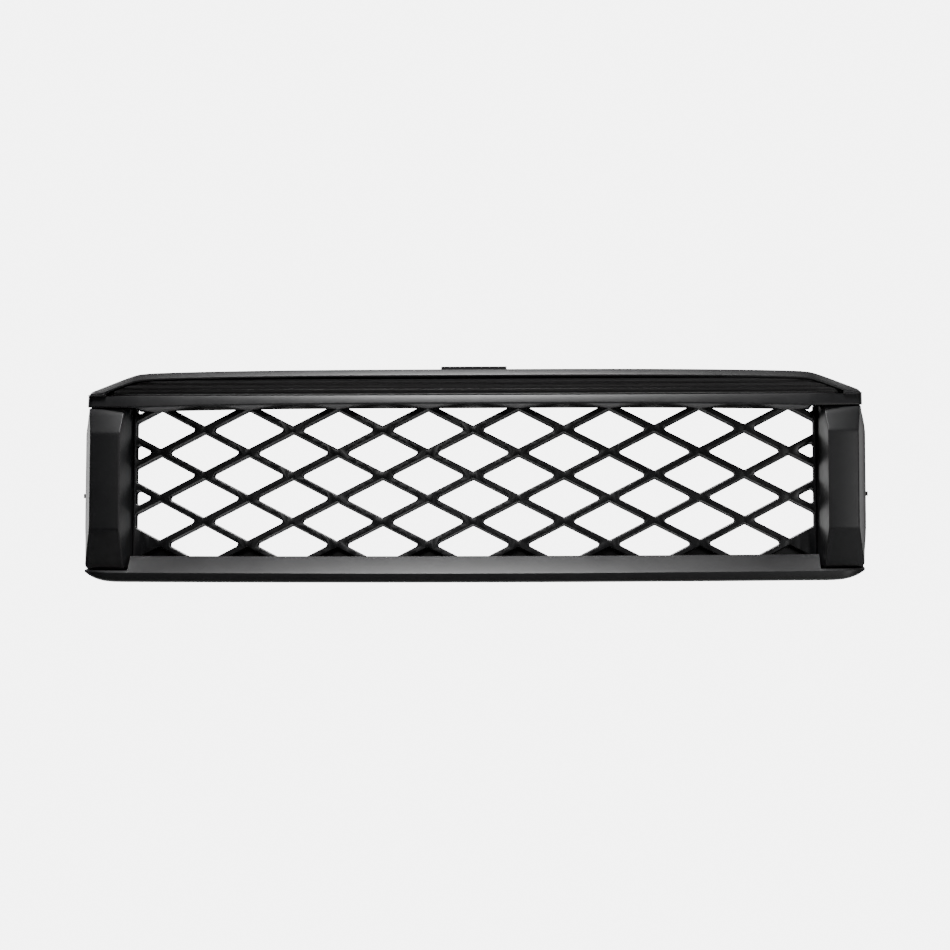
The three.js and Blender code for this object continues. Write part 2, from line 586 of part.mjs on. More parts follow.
function fasteners() {
  const made = [];
  CLAMP_X.forEach((x, i) => {
    made.push(screw(`upper_screw_${i + 1}`, x, CLAMP_HIGH, RAIL_BACK, 18));
    made.push(screw(`lower_screw_${i + 1}`, x, CLAMP_LOW, RAIL_BACK, 18));
  });
  [[-1, "left"], [1, "right"]].forEach(([side, label]) => {
    PILLAR_SCREW_Z.forEach((z, i) => {
      made.push(screw(`${label}_pillar_screw_${i + 1}`, side * PILLAR_SCREW_U, z, EAR_BACK, 20));
    });
    CORNER_SCREW_Z.forEach((z, i) => {
      made.push(screw(`${label}_corner_screw_${i + 1}`, side * CORNER_SCREW_U, z, EAR_BACK, 20));
    });
    made.push(clipNut(side, `${label}_clip_nut`));
  });
  TAB_X.forEach((x, i) => made.push(limiter(`top_limiter_${i + 1}`, x)));
  CLIP_X.forEach((x, i) => made.push(lowerClip(`lower_clip_${i + 1}`, x)));
  return made;
}

// ---- Assembly -------------------------------------------------------------------------------
const grille = new THREE.Group();
grille.add(
  upperBar(), upperRibStrip(), lowerBar(),
  pillar(-1, "left_pillar"), pillar(1, "right_pillar"),
  meshInsert(), topRail(), bottomRail(),
  endBracket(-1, "left_end_bracket"), endBracket(1, "right_end_bracket"),
  ...fasteners(),
);

// The origin is the centre of the whole object.
const centre = new THREE.Box3().setFromObject(grille, true).getCenter(new THREE.Vector3());
grille.position.copy(centre).negate();

export default grille;
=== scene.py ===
import math

import bmesh
import bpy
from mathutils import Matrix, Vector

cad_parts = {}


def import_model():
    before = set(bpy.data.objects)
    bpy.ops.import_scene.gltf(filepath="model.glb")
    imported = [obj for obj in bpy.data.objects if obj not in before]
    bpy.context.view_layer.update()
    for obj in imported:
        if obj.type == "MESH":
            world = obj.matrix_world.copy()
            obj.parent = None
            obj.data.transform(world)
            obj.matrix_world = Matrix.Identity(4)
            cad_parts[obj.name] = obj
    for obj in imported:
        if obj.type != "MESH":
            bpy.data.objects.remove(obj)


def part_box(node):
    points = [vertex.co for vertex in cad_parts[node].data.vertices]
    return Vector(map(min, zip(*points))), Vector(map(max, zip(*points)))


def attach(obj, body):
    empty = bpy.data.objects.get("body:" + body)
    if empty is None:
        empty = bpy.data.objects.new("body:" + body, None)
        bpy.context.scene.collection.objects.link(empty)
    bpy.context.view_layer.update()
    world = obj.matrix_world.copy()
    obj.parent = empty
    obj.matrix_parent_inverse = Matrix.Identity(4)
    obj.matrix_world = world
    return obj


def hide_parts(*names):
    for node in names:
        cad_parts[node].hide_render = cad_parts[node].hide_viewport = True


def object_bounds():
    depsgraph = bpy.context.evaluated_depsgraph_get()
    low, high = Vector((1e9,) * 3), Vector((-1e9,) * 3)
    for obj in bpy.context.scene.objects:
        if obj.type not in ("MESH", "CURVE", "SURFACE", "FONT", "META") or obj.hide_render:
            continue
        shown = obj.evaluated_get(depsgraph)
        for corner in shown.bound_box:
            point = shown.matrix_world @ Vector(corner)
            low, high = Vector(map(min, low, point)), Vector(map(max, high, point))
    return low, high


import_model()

cad_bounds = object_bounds()

# The front grille is laid out in millimetres on a flat face: x across, o (offset) going back
# from the front of the pillars, z up.  place() leans that face back, bows it in plan and turns
# it into metres in the CAD frame.
MM = 0.001
RAKE = math.radians(10)
LEAN = math.tan(RAKE)
BOW_RADIUS = 2200.0

# Upper bar
BAR_TOP = 124.0
BAR_NOSE = 84.8
BAR_HALF = 447.2
BAR_BACK = 47.5
BAR_CROWN = 6.0
SEAM = 0.5                # open seam between the bar's ends and the pillars
NOSE_STEP = 0.6           # over the pillars the nose ends this far above the underside
SHOULDER_SLOPE = 0.35
SHOULDER_END = 105.6
SHOULDER_REACH = 440.0
SHOULDER_BLEND = 3.0
LIP_HEIGHT = 6.4
LIP_SHADOW = 1.6          # height of the groove's face under the lip
LIP_FRONT = 9.0
LIP_THINNEST = 1.2
TOP_FRONT = 16.0          # front edge of the top face
TOP_REAR = 117.0          # height of its rear edge
BEVEL_BACK = 11.6         # offset of the bright bevel's upper edge
BEVEL_FRONT = 7.0         # and of its lower edge, the nose
UNDERSIDE = 78.4          # rear edge of the underside
UNDERSIDE_BACK = 37.4
UNDERSIDE_STEP = (386.0, 390.5)   # where the underside levels off over the pillars
UNDERSIDE_WIDER = (393.4, 394.4)  # and where it runs back to the bar's rear
SOLID_END = (413.0, 416.0)        # the hollow behind the bar's face ends here
BAR_WALL = 3.2
END_TURN = 6.0            # the front faces turn back this much towards the ends
END_TURN_SPAN = (384.0, 446.0)
CORNER_TURN = 5.0         # the outermost corner turns back by this much more
CORNER_TURN_START = 440.5
CORNER_DROP = 6.0         # and its top line drops this much
CORNER_DROP_START = 441.0
RECESS_LOW = 94.4
RECESS_LIFT = 5.0         # the recess's lower edge rises this much towards its tips
RECESS_FLOOR = 20.0
RECESS_HALF = 425.0
RECESS_END_HEIGHT = 0.4
RECESS_SHUT = 9.8         # offset of the face that closes the recess at both ends
RECESS_SHUT_REACH = 0.6
STRIP_SHADOW = 1.8        # open groove above the strip
RIB_PITCH = 5.6
RIB_COUNT = 4             # the strip's edges cut off what doesn't fit
STRIP_DEPTH = 5.2         # from the recess's floor to the ribs' crests
STRIP_SHORT = 9.0         # the strip ends this far inside the recess's ends

# One lapped rib, as (depth behind the crest, rise above its foot)
RIB_PROFILE = ((1.9, 0.0), (0.9, 0.9), (0.1, 3.4), (0.0, 3.9), (0.35, 4.35), (1.9, 4.7))

# Lower bar
SILL_TOP = -89.4
SILL_EDGE = -106.9
SILL_BOTTOM = -118.0
SILL_HALF = 448.5
SILL_BEVEL_HALF = 396.8
SILL_CROWN = 0.9          # the sill drops this much towards its ends
SILL_CROWN_REACH = 370.0
SILL_END_RISE = 11.0      # the lower edge curves up at both ends
SILL_END_TURN = 7.0       # and the front face turns back
SILL_BEVEL_BACK = 30.0    # offset of the bevel's rear edge
SILL_FRONT = 8.0          # and of its front edge, where the front face begins
SILL_TOE = 9.5            # the front face's lower edge
SILL_TOE_RISE = 1.8
SILL_BACK = 37.0          # rear of the lip behind the bevel
SILL_WEB = -93.6          # height of the hollow's roof
SILL_SOLID_END = (391.0, 394.0)   # the hollow ends here
SHIFT_STATION = 30.0      # the CAD's bars are straight between -30 and 30

# Pillars
PILLAR_TOP = 79.1
PILLAR_UPPER_CREASE = 51.9
PILLAR_LOWER_CREASE = -58.0
PILLAR_BOTTOM = -104.2
PILLAR_INNER = 407.0
PILLAR_OUTER = 442.0
PILLAR_REAR = 452.0       # the side wall bulges out to here at the rear
PILLAR_WALL = 3.0
PILLAR_BACK = 43.7
PILLAR_SETBACK_TOP = 14.0
PILLAR_SETBACK_BOTTOM = 16.0
PILLAR_FLARE_TOP = 3.2    # the outer edge runs out this much towards the top
PILLAR_FLARE_BOTTOM = 7.0
PILLAR_CORNER = 7.0       # height of the rounded lower outer corner
INNER_DRAFT = 0.298       # slope of the wall beside the mesh

# Mesh
MESH_FRONT = 38.0
MESH_DEPTH = 20.0
MESH_BAR = 6.8
MESH_SIDE = 393.0
MESH_WEB_DEPTH = 11.0
MESH_PITCH_X = 104.1
MESH_PITCH_Z = 52.4
MESH_CENTRE_Z = 2.8
MESH_HALF = 393.6
MESH_LOW = -96.0
MESH_HIGH = 80.2
FLANGE_FRONT = 44.0
FLANGE_BACK = 48.0
FLANGE_HALF = 412.0
FLANGE_LOW = -108.5
FLANGE_HIGH = 92.6

# Rear frame and fasteners
GAP = 0.3
RAIL_FRONT = FLANGE_BACK + GAP
RAIL_BACK = RAIL_FRONT + 3
RAIL_HALF = 434.0
EAR_FRONT = RAIL_BACK + GAP
EAR_BACK = EAR_FRONT + 3
TAB_X = (-330, -120, 120, 330)
TAB_TOP = 112.5
CENTRE_TOP = 125.6        # the middle tab just shows above the upper bar
CLIP_X = (-300, -110, 110, 300)
CLIP_Z = -108.0
SEAT_LOW = CLIP_Z - 9
SEAT_HIGH = CLIP_Z + 8
CLIP_SEAT = 84.0
CLAMP_X = (-350, -210, -70, 70, 210, 350)
CLAMP_HIGH = 88.0
CLAMP_LOW = -103.6
PILLAR_SCREW_U = 425.0
PILLAR_SCREW_Z = (62, -84)
CORNER_U = 424.0
CORNER_HIGH = 86.0
CORNER_LOW = -112.2
SIDE_TAB_U = 440.0
SIDE_TAB_Z = -23.0
LUG_REACH = 454.5         # a small locating lug shows past the pillar's rear edge
SIDE_TAB_FRONT = 72.0
SIDE_TAB_BACK = 75.0
THREAD_PITCH = 1.4
SCREW_HOLE = 2.6          # radii
CLAMP_BOSS = 5.6
LOW_CLAMP_BOSS = 3.9
LEG_BACK = 66.0           # rear edge of the rails' legs
LEG_STOP = (398, 404)     # the legs end between these
RAIL_RIB_BACK = 62.0
RAIL_RIB_SPAN = (-360, 360, 45)   # first rib, last rib and spacing
RIB_HALF = 1.2
TAB_HALF = 23.0
TAB_SPAN = (56.0, 98.0)
BOLT_OFFSET = 80.0        # offset of the bolts' axes
SEAT_HALF = 16.0
EAR_SPAN = (406, 434)
EAR_FOOT = 55
EAR_HEAD = 94
LOW_EAR_FOOT = -116.4
LOW_EAR_HEAD = -70
BRACKET_LOW = -99.4
BRACKET_HIGH = 81.6
SOFT_EDGE = 0.4           # rounding of the rear frame's edges


def bow(x):
    return BOW_RADIUS - math.sqrt(BOW_RADIUS ** 2 - x * x)


def setback(x, z):
    return z * LEAN + bow(x)


# The CAD origin is the middle of the whole object; the front of the lower bar and the top of the
# middle tab give the shift to it.
sill_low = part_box("lower_bar")[0]
SHIFT_Y = sill_low[1] / MM - (SILL_TOE + setback(SHIFT_STATION, SILL_BOTTOM + SILL_TOE_RISE))
SHIFT_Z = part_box("top_rail")[1][2] / MM - CENTRE_TOP


def place(x, o, z):
    return Vector((x * MM, (o + setback(x, z) + SHIFT_Y) * MM, (z + SHIFT_Z) * MM))


def clamp(value, low=0.0, high=1.0):
    return max(low, min(high, value))


def ramp(value, start, end):
    return clamp((value - start) / (end - start))


def smooth_ramp(value, start, end):
    t = ramp(value, start, end)
    return t * t * (3 - 2 * t)


def spread(start, end, step):
    count = max(1, round((end - start) / step))
    return [start + (end - start) * i / count for i in range(count + 1)]


# ---- Mesh helpers ----------------------------------------------------------------------------
def in_scene(name, data):
    thing = bpy.data.objects.new(name, data)
    bpy.context.scene.collection.objects.link(thing)
    return thing


def new_piece(name, bm, material, replaced, smooth_angle=32):
    """Turns a bmesh into a piece that rides on the root body and stands for its CAD nodes."""
    bmesh.ops.remove_doubles(bm, verts=bm.verts, dist=2e-6)
    bmesh.ops.dissolve_degenerate(bm, edges=bm.edges, dist=1e-6)
    bmesh.ops.recalc_face_normals(bm, faces=bm.faces)
    data = bpy.data.meshes.new(name)
    bm.to_mesh(data)
    bm.free()
    for polygon in data.polygons:
        polygon.use_smooth = True
    data.set_sharp_from_angle(angle=math.radians(smooth_angle))
    data.materials.append(material)
    piece = in_scene(name, data)
    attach(piece, "root")
    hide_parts(*replaced)
    return piece


def rounded(points, radii, segments=4):
    """A closed outline with each corner turned into an arc; always the same number of points."""
    outline = []
    count = len(points)
    for i in range(count):
        corner = Vector(points[i])
        before = Vector(points[i - 1]) - corner
        after = Vector(points[(i + 1) % count]) - corner
        room = 0.48 * min(before.length, after.length)
        if radii[i] <= 0 or room < 1e-4:
            outline.extend([corner] * (segments + 1))
            continue
        before.normalize()
        after.normalize()
        half = math.acos(clamp(before.dot(after), -1, 1)) / 2
        if half > math.pi / 2 - 0.01 or half < 0.01:
            outline.extend([corner] * (segments + 1))
            continue
        reach = min(radii[i] / math.tan(half), room)
        radius = reach * math.tan(half)
        centre = corner + (before + after).normalized() * (radius / math.sin(half))
        start = corner + before * reach - centre
        finish = corner + after * reach - centre
        turn = math.atan2(start.x * finish.y - start.y * finish.x, start.dot(finish))
        for k in range(segments + 1):
            angle = turn * k / segments
            cos, sin = math.cos(angle), math.sin(angle)
            outline.append(centre + Vector((
                start.x * cos - start.y * sin, start.x * sin + start.y * cos)))
    return outline


def loft(rings):
    """Skins a list of rings of points and caps both ends, as a new bmesh."""
    bm = bmesh.new()
    rows = [[bm.verts.new(point) for point in ring] for ring in rings]
    size = len(rows[0])
    for row, following in zip(rows, rows[1:]):
        for i in range(size):
            j = (i + 1) % size
            bm.faces.new((row[i], row[j], following[j], following[i]))
    bm.faces.new(list(reversed(rows[0])))
    bm.faces.new(rows[-1])
    return bm


# ---- Joining and cutting ---------------------------------------------------------------------
def combine(base, tool, operation):
    """Joins two bmeshes or cuts the second from the first; both are used up."""
    things = []
    for bm in (base, tool):
        bmesh.ops.recalc_face_normals(bm, faces=bm.faces)
        data = bpy.data.meshes.new("blank")
        bm.to_mesh(data)
        bm.free()
        things.append(in_scene("blank", data))
    boolean = things[0].modifiers.new("boolean", "BOOLEAN")
    boolean.operation = operation
    boolean.solver = "MANIFOLD"
    boolean.object = things[1]
    result = bmesh.new()
    result.from_object(things[0], bpy.context.evaluated_depsgraph_get())
    for thing in things:
        data = thing.data
        bpy.data.objects.remove(thing)
        bpy.data.meshes.remove(data)
    return result


def merged(parts):
    """Puts separate bmeshes that don't touch into one."""
    whole = bmesh.new()
    for part in parts:
        data = bpy.data.meshes.new("blank")
        part.to_mesh(data)
        part.free()
        whole.from_mesh(data)
        bpy.data.meshes.remove(data)
    return whole


def add(base, parts):
    """Adds separate bmeshes that don't touch each other to a base."""
    return combine(base, merged(parts), "UNION")


def cut(base, parts):
    """Cuts separate bmeshes that don't touch each other from a base."""
    return combine(base, merged(parts), "DIFFERENCE")


def stand(x, o, z, anchor):
    """Like place, but square to the vehicle: the face's setback is taken at the anchor (x, z)."""
    return Vector((x * MM, (o + setback(*anchor) + SHIFT_Y) * MM, (z + SHIFT_Z) * MM))


def block(low, high, steps=1, anchor=None):
    """A box between two corners in (x, o, z), bent with the face unless it has an anchor."""
    corners = ((low[1], low[2]), (high[1], low[2]), (high[1], high[2]), (low[1], high[2]))
    rings = []
    for i in range(steps + 1):
        x = low[0] + (high[0] - low[0]) * i / steps
        rings.append([stand(x, o, z, anchor) if anchor else place(x, o, z) for o, z in corners])
    return loft(rings)


def side_block(side, low, high, steps=1, anchor=None):
    """A block given by its distance from the middle, put on the left (-1) or right (1)."""
    near, far = sorted((side * low[0], side * high[0]))
    return block((near, *low[1:]), (far, *high[1:]), steps, anchor)


def plate(outline, o0, o1, anchor):
    """A flat plate facing forward: an outline of (x, z) points between two offsets."""
    return loft([[stand(x, o, z, anchor) for x, z in outline] for o in (o0, o1)])


def shelf(outline, z0, z1, anchor):
    """A flat plate facing up: an outline of (x, o) points between two heights."""
    return loft([[stand(x, o, z, anchor) for x, o in outline] for z in (z0, z1)])


def round_angles(sides):
    return [2 * math.pi * i / sides for i in range(sides)]


def turned(profile, sides, put):
    """A turned shape: (radius, height) pairs round an axis; put(a, b, h) places each point."""
    return loft([[put(radius * math.cos(a), radius * math.sin(a), height)
                  for a in round_angles(sides)] for radius, height in profile])


def peg(x, z, radius, o0, o1, sides=24):
    return turned([(radius, o0), (radius, o1)], sides, lambda a, b, h: place(x + a, h, z + b))


def square_peg(x, z, radius, o0, o1, sides=24):
    return turned([(radius, o0), (radius, o1)], sides,
                  lambda a, b, h: stand(x + a, h, z + b, (x, z)))


def post(x, o, radius, z0, z1, anchor, sides=28):
    return turned([(radius, z0), (radius, z1)], sides,
                  lambda a, b, h: stand(x + a, o + b, h, anchor))


def soften(piece, width, segments=2):
    """Rounds a moulding's edges a little."""
    bevel = piece.modifiers.new("soft_edges", "BEVEL")
    bevel.width = width * MM
    bevel.segments = segments
    bevel.limit_method = "ANGLE"
    bevel.angle_limit = math.radians(38)
    bevel.harden_normals = True


def rounded_rectangle(low, high, radius, segments=5):
    corners = [(low[0], low[1]), (high[0], low[1]), (high[0], high[1]), (low[0], high[1])]
    return [tuple(p) for p in rounded(corners, [radius] * 4, segments)]


# ---- Materials -------------------------------------------------------------------------------
def node_material(name):
    material = bpy.data.materials.new(name)
    material.use_nodes = True
    tree = material.node_tree
    return material, tree, tree.nodes["Principled BSDF"]


def noise(tree, vector, scale, detail=2.0, roughness=0.5):
    texture = tree.nodes.new("ShaderNodeTexNoise")
    texture.inputs["Scale"].default_value = scale
    texture.inputs["Detail"].default_value = detail
    texture.inputs["Roughness"].default_value = roughness
    tree.links.new(vector, texture.inputs["Vector"])
    return texture.outputs["Fac"]


def blend(tree, share, first, second):
    """Mixes two colours; returns the node, whose colours are its inputs 6 and 7."""
    mix = tree.nodes.new("ShaderNodeMix")
    mix.data_type = "RGBA"
    mix.inputs[6].default_value = (*first, 1)
    mix.inputs[7].default_value = (*second, 1)
    tree.links.new(share, mix.inputs[0])
    return mix


def remap(tree, value, start, stop, low, high, easing="LINEAR"):
    """Turns the span from start to stop into the span from low to high."""
    span = tree.nodes.new("ShaderNodeMapRange")
    span.interpolation_type = easing
    span.inputs["From Min"].default_value = start
    span.inputs["From Max"].default_value = stop
    span.inputs["To Min"].default_value = low
    span.inputs["To Max"].default_value = high
    tree.links.new(value, span.inputs["Value"])
    return span.outputs["Result"]


def roughen(tree, shader, height, strength, distance):
    bump = tree.nodes.new("ShaderNodeBump")
    bump.inputs["Strength"].default_value = strength
    bump.inputs["Distance"].default_value = distance
    tree.links.new(height, bump.inputs["Height"])
    tree.links.new(bump.outputs["Normal"], shader.inputs["Normal"])


WEAR_PALER = 3             # worn edges are this much paler than the plastic's light tone
GRAIN_RELIEF = 0.0002
STREAK_RELIEF = 0.0001
STREAK_STRETCH = (1.0, 1.0, 14.0)


def moulded_plastic(name, dark, light, roughness, grain, grain_depth):
    """Black moulded plastic: cloudy tone, uneven gloss, a fine grain and paler worn edges."""
    material, tree, shader = node_material(name)
    coords = tree.nodes.new("ShaderNodeTexCoord").outputs["Object"]
    tone = blend(tree, noise(tree, coords, scale=9.0, detail=5.0), dark, light)
    geometry = tree.nodes.new("ShaderNodeNewGeometry")
    edge = remap(tree, geometry.outputs["Pointiness"], 0.53, 0.62, 0.0, 0.35)
    wear = blend(tree, edge, light, [min(1, c * WEAR_PALER) for c in light])
    tree.links.new(tone.outputs[2], wear.inputs[6])
    tree.links.new(wear.outputs[2], shader.inputs["Base Color"])
    smears = noise(tree, coords, scale=26.0, detail=6.0, roughness=0.65)
    gloss = remap(tree, smears, 0.3, 0.7, roughness - 0.03, roughness + 0.04)
    tree.links.new(gloss, shader.inputs["Roughness"])
    skin = noise(tree, coords, scale=grain, detail=3.0)
    roughen(tree, shader, skin, grain_depth, GRAIN_RELIEF)
    return material


SATIN = moulded_plastic("satin_black", (0.006, 0.006, 0.0065), (0.011, 0.011, 0.012), 0.4,
                        1500.0, 0.25)
GLOSS = moulded_plastic("gloss_black", (0.004, 0.004, 0.0045), (0.008, 0.008, 0.009), 0.32,
                        900.0, 0.15)
RIBBED = moulded_plastic("ribbed_black", (0.018, 0.018, 0.018), (0.034, 0.034, 0.034), 0.4,
                         2200.0, 0.6)
MATT = moulded_plastic("matt_black", (0.012, 0.012, 0.0125), (0.02, 0.02, 0.021), 0.6,
                       1300.0, 0.7)
NYLON = moulded_plastic("nylon", (0.02, 0.02, 0.021), (0.034, 0.034, 0.036), 0.5, 700.0, 0.3)


def plated_steel(name, dark, light, roughness, streak):
    """Plated steel: blotchy passivation, fine drawn streaks and duller patches."""
    material, tree, shader = node_material(name)
    coords = tree.nodes.new("ShaderNodeTexCoord").outputs["Object"]
    blotches = noise(tree, coords, scale=320.0, detail=4.0)
    tone = blend(tree, blotches, dark, light)
    tree.links.new(tone.outputs[2], shader.inputs["Base Color"])
    gloss = remap(tree, blotches, 0.0, 1.0, roughness - 0.08, roughness + 0.12)
    tree.links.new(gloss, shader.inputs["Roughness"])
    stretch = tree.nodes.new("ShaderNodeMapping")
    stretch.inputs["Scale"].default_value = STREAK_STRETCH
    tree.links.new(coords, stretch.inputs["Vector"])
    lines = noise(tree, stretch.outputs["Vector"], scale=260.0)
    roughen(tree, shader, lines, streak, STREAK_RELIEF)
    shader.inputs["Metallic"].default_value = 1.0
    return material


BLACK_STEEL = plated_steel("black_zinc_steel", (0.035, 0.035, 0.038), (0.08, 0.08, 0.085), 0.38,
                           0.2)
ZINC = plated_steel("zinc_steel", (0.46, 0.45, 0.41), (0.62, 0.61, 0.56), 0.34, 0.25)


# ---- Upper bar -------------------------------------------------------------------------------
def crown(x):
    return -BAR_CROWN * abs(x / SHOULDER_REACH) ** 3


def outline_top(x):
    """The bar's top line: flat, then a soft shoulder, then a straight slope."""
    slope = SHOULDER_END + (SHOULDER_REACH - abs(x)) * SHOULDER_SLOPE
    excess = (slope - BAR_TOP) / SHOULDER_BLEND
    return BAR_TOP + SHOULDER_BLEND * 0.5 * (excess - math.sqrt(excess * excess + 1))


def end_turn(x):
    """How far the bar's front faces turn back towards its ends."""
    u = abs(x)
    corner = ramp(u, CORNER_TURN_START, BAR_HALF)
    rounding = CORNER_TURN * (1 - math.sqrt(1 - corner * corner))
    return END_TURN * smooth_ramp(u, *END_TURN_SPAN) + rounding


def end_round(x):
    """How far the top line drops to round the bar's outermost corner."""
    corner = ramp(abs(x), CORNER_DROP_START, BAR_HALF)
    return CORNER_DROP * (1 - math.sqrt(1 - corner * corner))


def recess_low(x):
    return RECESS_LOW + RECESS_LIFT * abs(x / RECESS_HALF) ** 3


def recess_top(x):
    return max(outline_top(x) - LIP_HEIGHT - LIP_SHADOW, recess_low(x) + RECESS_END_HEIGHT)


def upper_bar_section(x):
    """Top, lip, groove, recess, bevel and underside; then the hollow behind them, going up."""
    u = abs(x)
    top = outline_top(x) - end_round(x)
    drop = BAR_TOP - top
    turn = end_turn(x)
    roof = recess_top(x)
    foot = recess_low(x)
    lip = min(max(top - LIP_HEIGHT, roof + 1.5), top - LIP_THINNEST)
    shut = smooth_ramp(u, RECESS_HALF - RECESS_SHUT_REACH, RECESS_HALF + RECESS_SHUT_REACH)
    floor = RECESS_FLOOR + (RECESS_SHUT - RECESS_FLOOR) * shut + turn * 0.5
    closed = foot + RECESS_END_HEIGHT
    roof = roof + (closed - roof) * smooth_ramp(u, RECESS_HALF, RECESS_HALF + 8)
    lip = max(lip, roof + 0.3)
    lift = ramp(u, *UNDERSIDE_STEP)
    seam = PILLAR_TOP + SEAM - crown(x)
    nose = BAR_NOSE + (seam + NOSE_STEP - BAR_NOSE) * lift
    rear = UNDERSIDE_BACK + (BAR_BACK - UNDERSIDE_BACK) * ramp(u, *UNDERSIDE_WIDER)
    filled = ramp(u, *SOLID_END)
    behind = RECESS_FLOOR + BAR_WALL + turn * 0.5

    def inner(o):
        return o + (BAR_BACK - o) * filled

    points = [
        (BAR_BACK, TOP_REAR - drop), (TOP_FRONT + turn, top), (LIP_FRONT + turn, lip),
        (LIP_FRONT + 0.2 + turn, roof), (floor, roof), (floor, foot), (BEVEL_BACK + turn, foot),
        (BEVEL_FRONT + turn, nose), (rear, UNDERSIDE + (seam - UNDERSIDE) * lift),
        (inner(rear), UNDERSIDE + BAR_WALL + 4 * lift), (inner(12.2 + turn), 87.6 + lift),
        (inner(15.8 + turn), 90.9), (inner(behind), 91.6),
        (inner(behind), max(111 - drop, 93)), (BAR_BACK, TOP_REAR - 3.4 - drop * 0.95),
    ]
    radii = [0.6, 2.6, 1.4, 0.6, 0.6, 0.6, 1.2, 1.6, 0.5, 0.5, 0.8, 0.8, 0.8, 1.0, 0.6]
    return [(o, z + crown(x)) for o, z in rounded(points, radii)]


STATION_STEP = 9.0


def bar_stations(half, fine):
    """Even stations along a bar, with extra ones where its shape changes quickly."""
    positive = sorted(set(spread(0, half, STATION_STEP)[1:] + fine))
    return [-x for x in reversed(positive)] + [0.0] + positive


def upper_bar():
    fine = [*UNDERSIDE_STEP, *UNDERSIDE_WIDER, *SOLID_END, RECESS_HALF - RECESS_SHUT_REACH,
            RECESS_HALF, RECESS_HALF + RECESS_SHUT_REACH, 438.0, CORNER_TURN_START, 442.5,
            444.2, 445.4, 446.1]
    body = loft([[place(x, o, z) for o, z in upper_bar_section(x)]
                 for x in bar_stations(BAR_HALF, fine)])
    # A small lip hangs behind each pillar's rear edge and closes the seam to the light.
    lips = [side_block(side, (SOLID_END[0] + 0.5, PILLAR_BACK + 0.4, PILLAR_TOP - 2.5),
                       (BAR_HALF - 1, BAR_BACK - 0.1, PILLAR_TOP + 4), 6) for side in (-1, 1)]
    body = add(body, lips)
    new_piece("upper_bar_moulding", body, SATIN, ["upper_bar"])


# ---- Ribbed strip ----------------------------------------------------------------------------
def strip_section(x):
    """Lapped ribs: each leans out to a crest near its top, then falls back to a fine groove."""
    low = recess_low(x) + GAP
    high = max(recess_top(x) - STRIP_SHADOW, low + 0.3)
    face = RECESS_FLOOR - STRIP_DEPTH + end_turn(x) * 0.5
    back = RECESS_FLOOR - GAP + end_turn(x) * 0.5
    points = [(back, low)]
    for i in range(RIB_COUNT):
        foot = low + RIB_PITCH * (i - 0.55)
        for depth, rise in RIB_PROFILE:
            points.append((face + depth, clamp(foot + rise, low, high)))
    points.append((back, high))
    return [(o, z + crown(x)) for o, z in points]


def rib_strip():
    bm = loft([[place(x, o, z) for o, z in strip_section(x)]
               for x in bar_stations(RECESS_HALF - STRIP_SHORT, [410.0, 413.5])])
    new_piece("ribbed_strip", bm, RIBBED, ["upper_rib_strip"], 50)


# ---- Lower bar -------------------------------------------------------------------------------
def sill_crown(x):
    return -SILL_CROWN * (x / SILL_CROWN_REACH) ** 2


def lower_bar_section(x):
    """Bevel, front face and base; then the hollow behind them and the bevel's rear lip."""
    u = abs(x)
    sag = sill_crown(x)
    turn = SILL_END_TURN * ramp(u, 424, SILL_HALF) ** 2
    ledge = PILLAR_BOTTOM - 1.6
    flat = ramp(u, SILL_BEVEL_HALF - 0.6, SILL_BEVEL_HALF + 0.4)
    rise = SILL_END_RISE * ramp(u, 400, SILL_HALF) ** 3.2
    filled = ramp(u, *SILL_SOLID_END)
    edge = SILL_FRONT + turn
    bottom = SILL_BOTTOM + sag + rise

    def low(z):
        return z + sag + (ledge - z - sag) * flat

    def inner(o):
        return o + (BAR_BACK - o) * filled

    back_top = SILL_BACK + (BAR_BACK - SILL_BACK) * flat
    points = [
        (SILL_BEVEL_BACK + (edge + 2.5 - SILL_BEVEL_BACK) * flat, low(SILL_TOP)),
        (edge, min(SILL_EDGE + sag, ledge - 1.5) + rise * 0.2),
        (SILL_TOE + turn, bottom + SILL_TOE_RISE), (13 + turn * 0.6, bottom),
        (BAR_BACK, bottom + 2), (BAR_BACK, -114.4 + rise * 0.9),
        (inner(13.5), -114.6 + rise * 0.9), (inner(12.5), -107.4), (inner(29), SILL_WEB),
        (inner(34), low(SILL_WEB)), (inner(34), low(-97.8)), (back_top, low(-98.2)),
        (back_top, low(SILL_TOP)),
    ]
    radii = [0.9, 1.0, 1.2, 1.6, 0.5, 0.4, 0.8, 0.8, 0.8, 0.5, 0.4, 0.4, 0.5]
    return rounded(points, radii)


def lower_bar():
    fine = [*SILL_SOLID_END, 396.2, 396.6, 396.9, 397.2, 424.0, 430.0, 436.0, 440.0, 443.0,
            445.0, 447.0]
    bm = loft([[place(x, o, z) for o, z in lower_bar_section(x)]
               for x in bar_stations(SILL_HALF, fine)])
    new_piece("lower_bar_moulding", bm, SATIN, ["lower_bar"])


# ---- Pillars ---------------------------------------------------------------------------------
def soft_fold(value, blend):
    """Zero below, value above, with the change rounded over about blend."""
    return 0.5 * (value + math.sqrt(value * value + blend * blend))


def pillar_front(z):
    upper = PILLAR_SETBACK_TOP / (PILLAR_TOP - PILLAR_UPPER_CREASE)
    lower = PILLAR_SETBACK_BOTTOM / (PILLAR_LOWER_CREASE - PILLAR_BOTTOM)
    return (soft_fold(z - PILLAR_UPPER_CREASE, 1.2) * upper
            + soft_fold(PILLAR_LOWER_CREASE - z, 1.2) * lower)


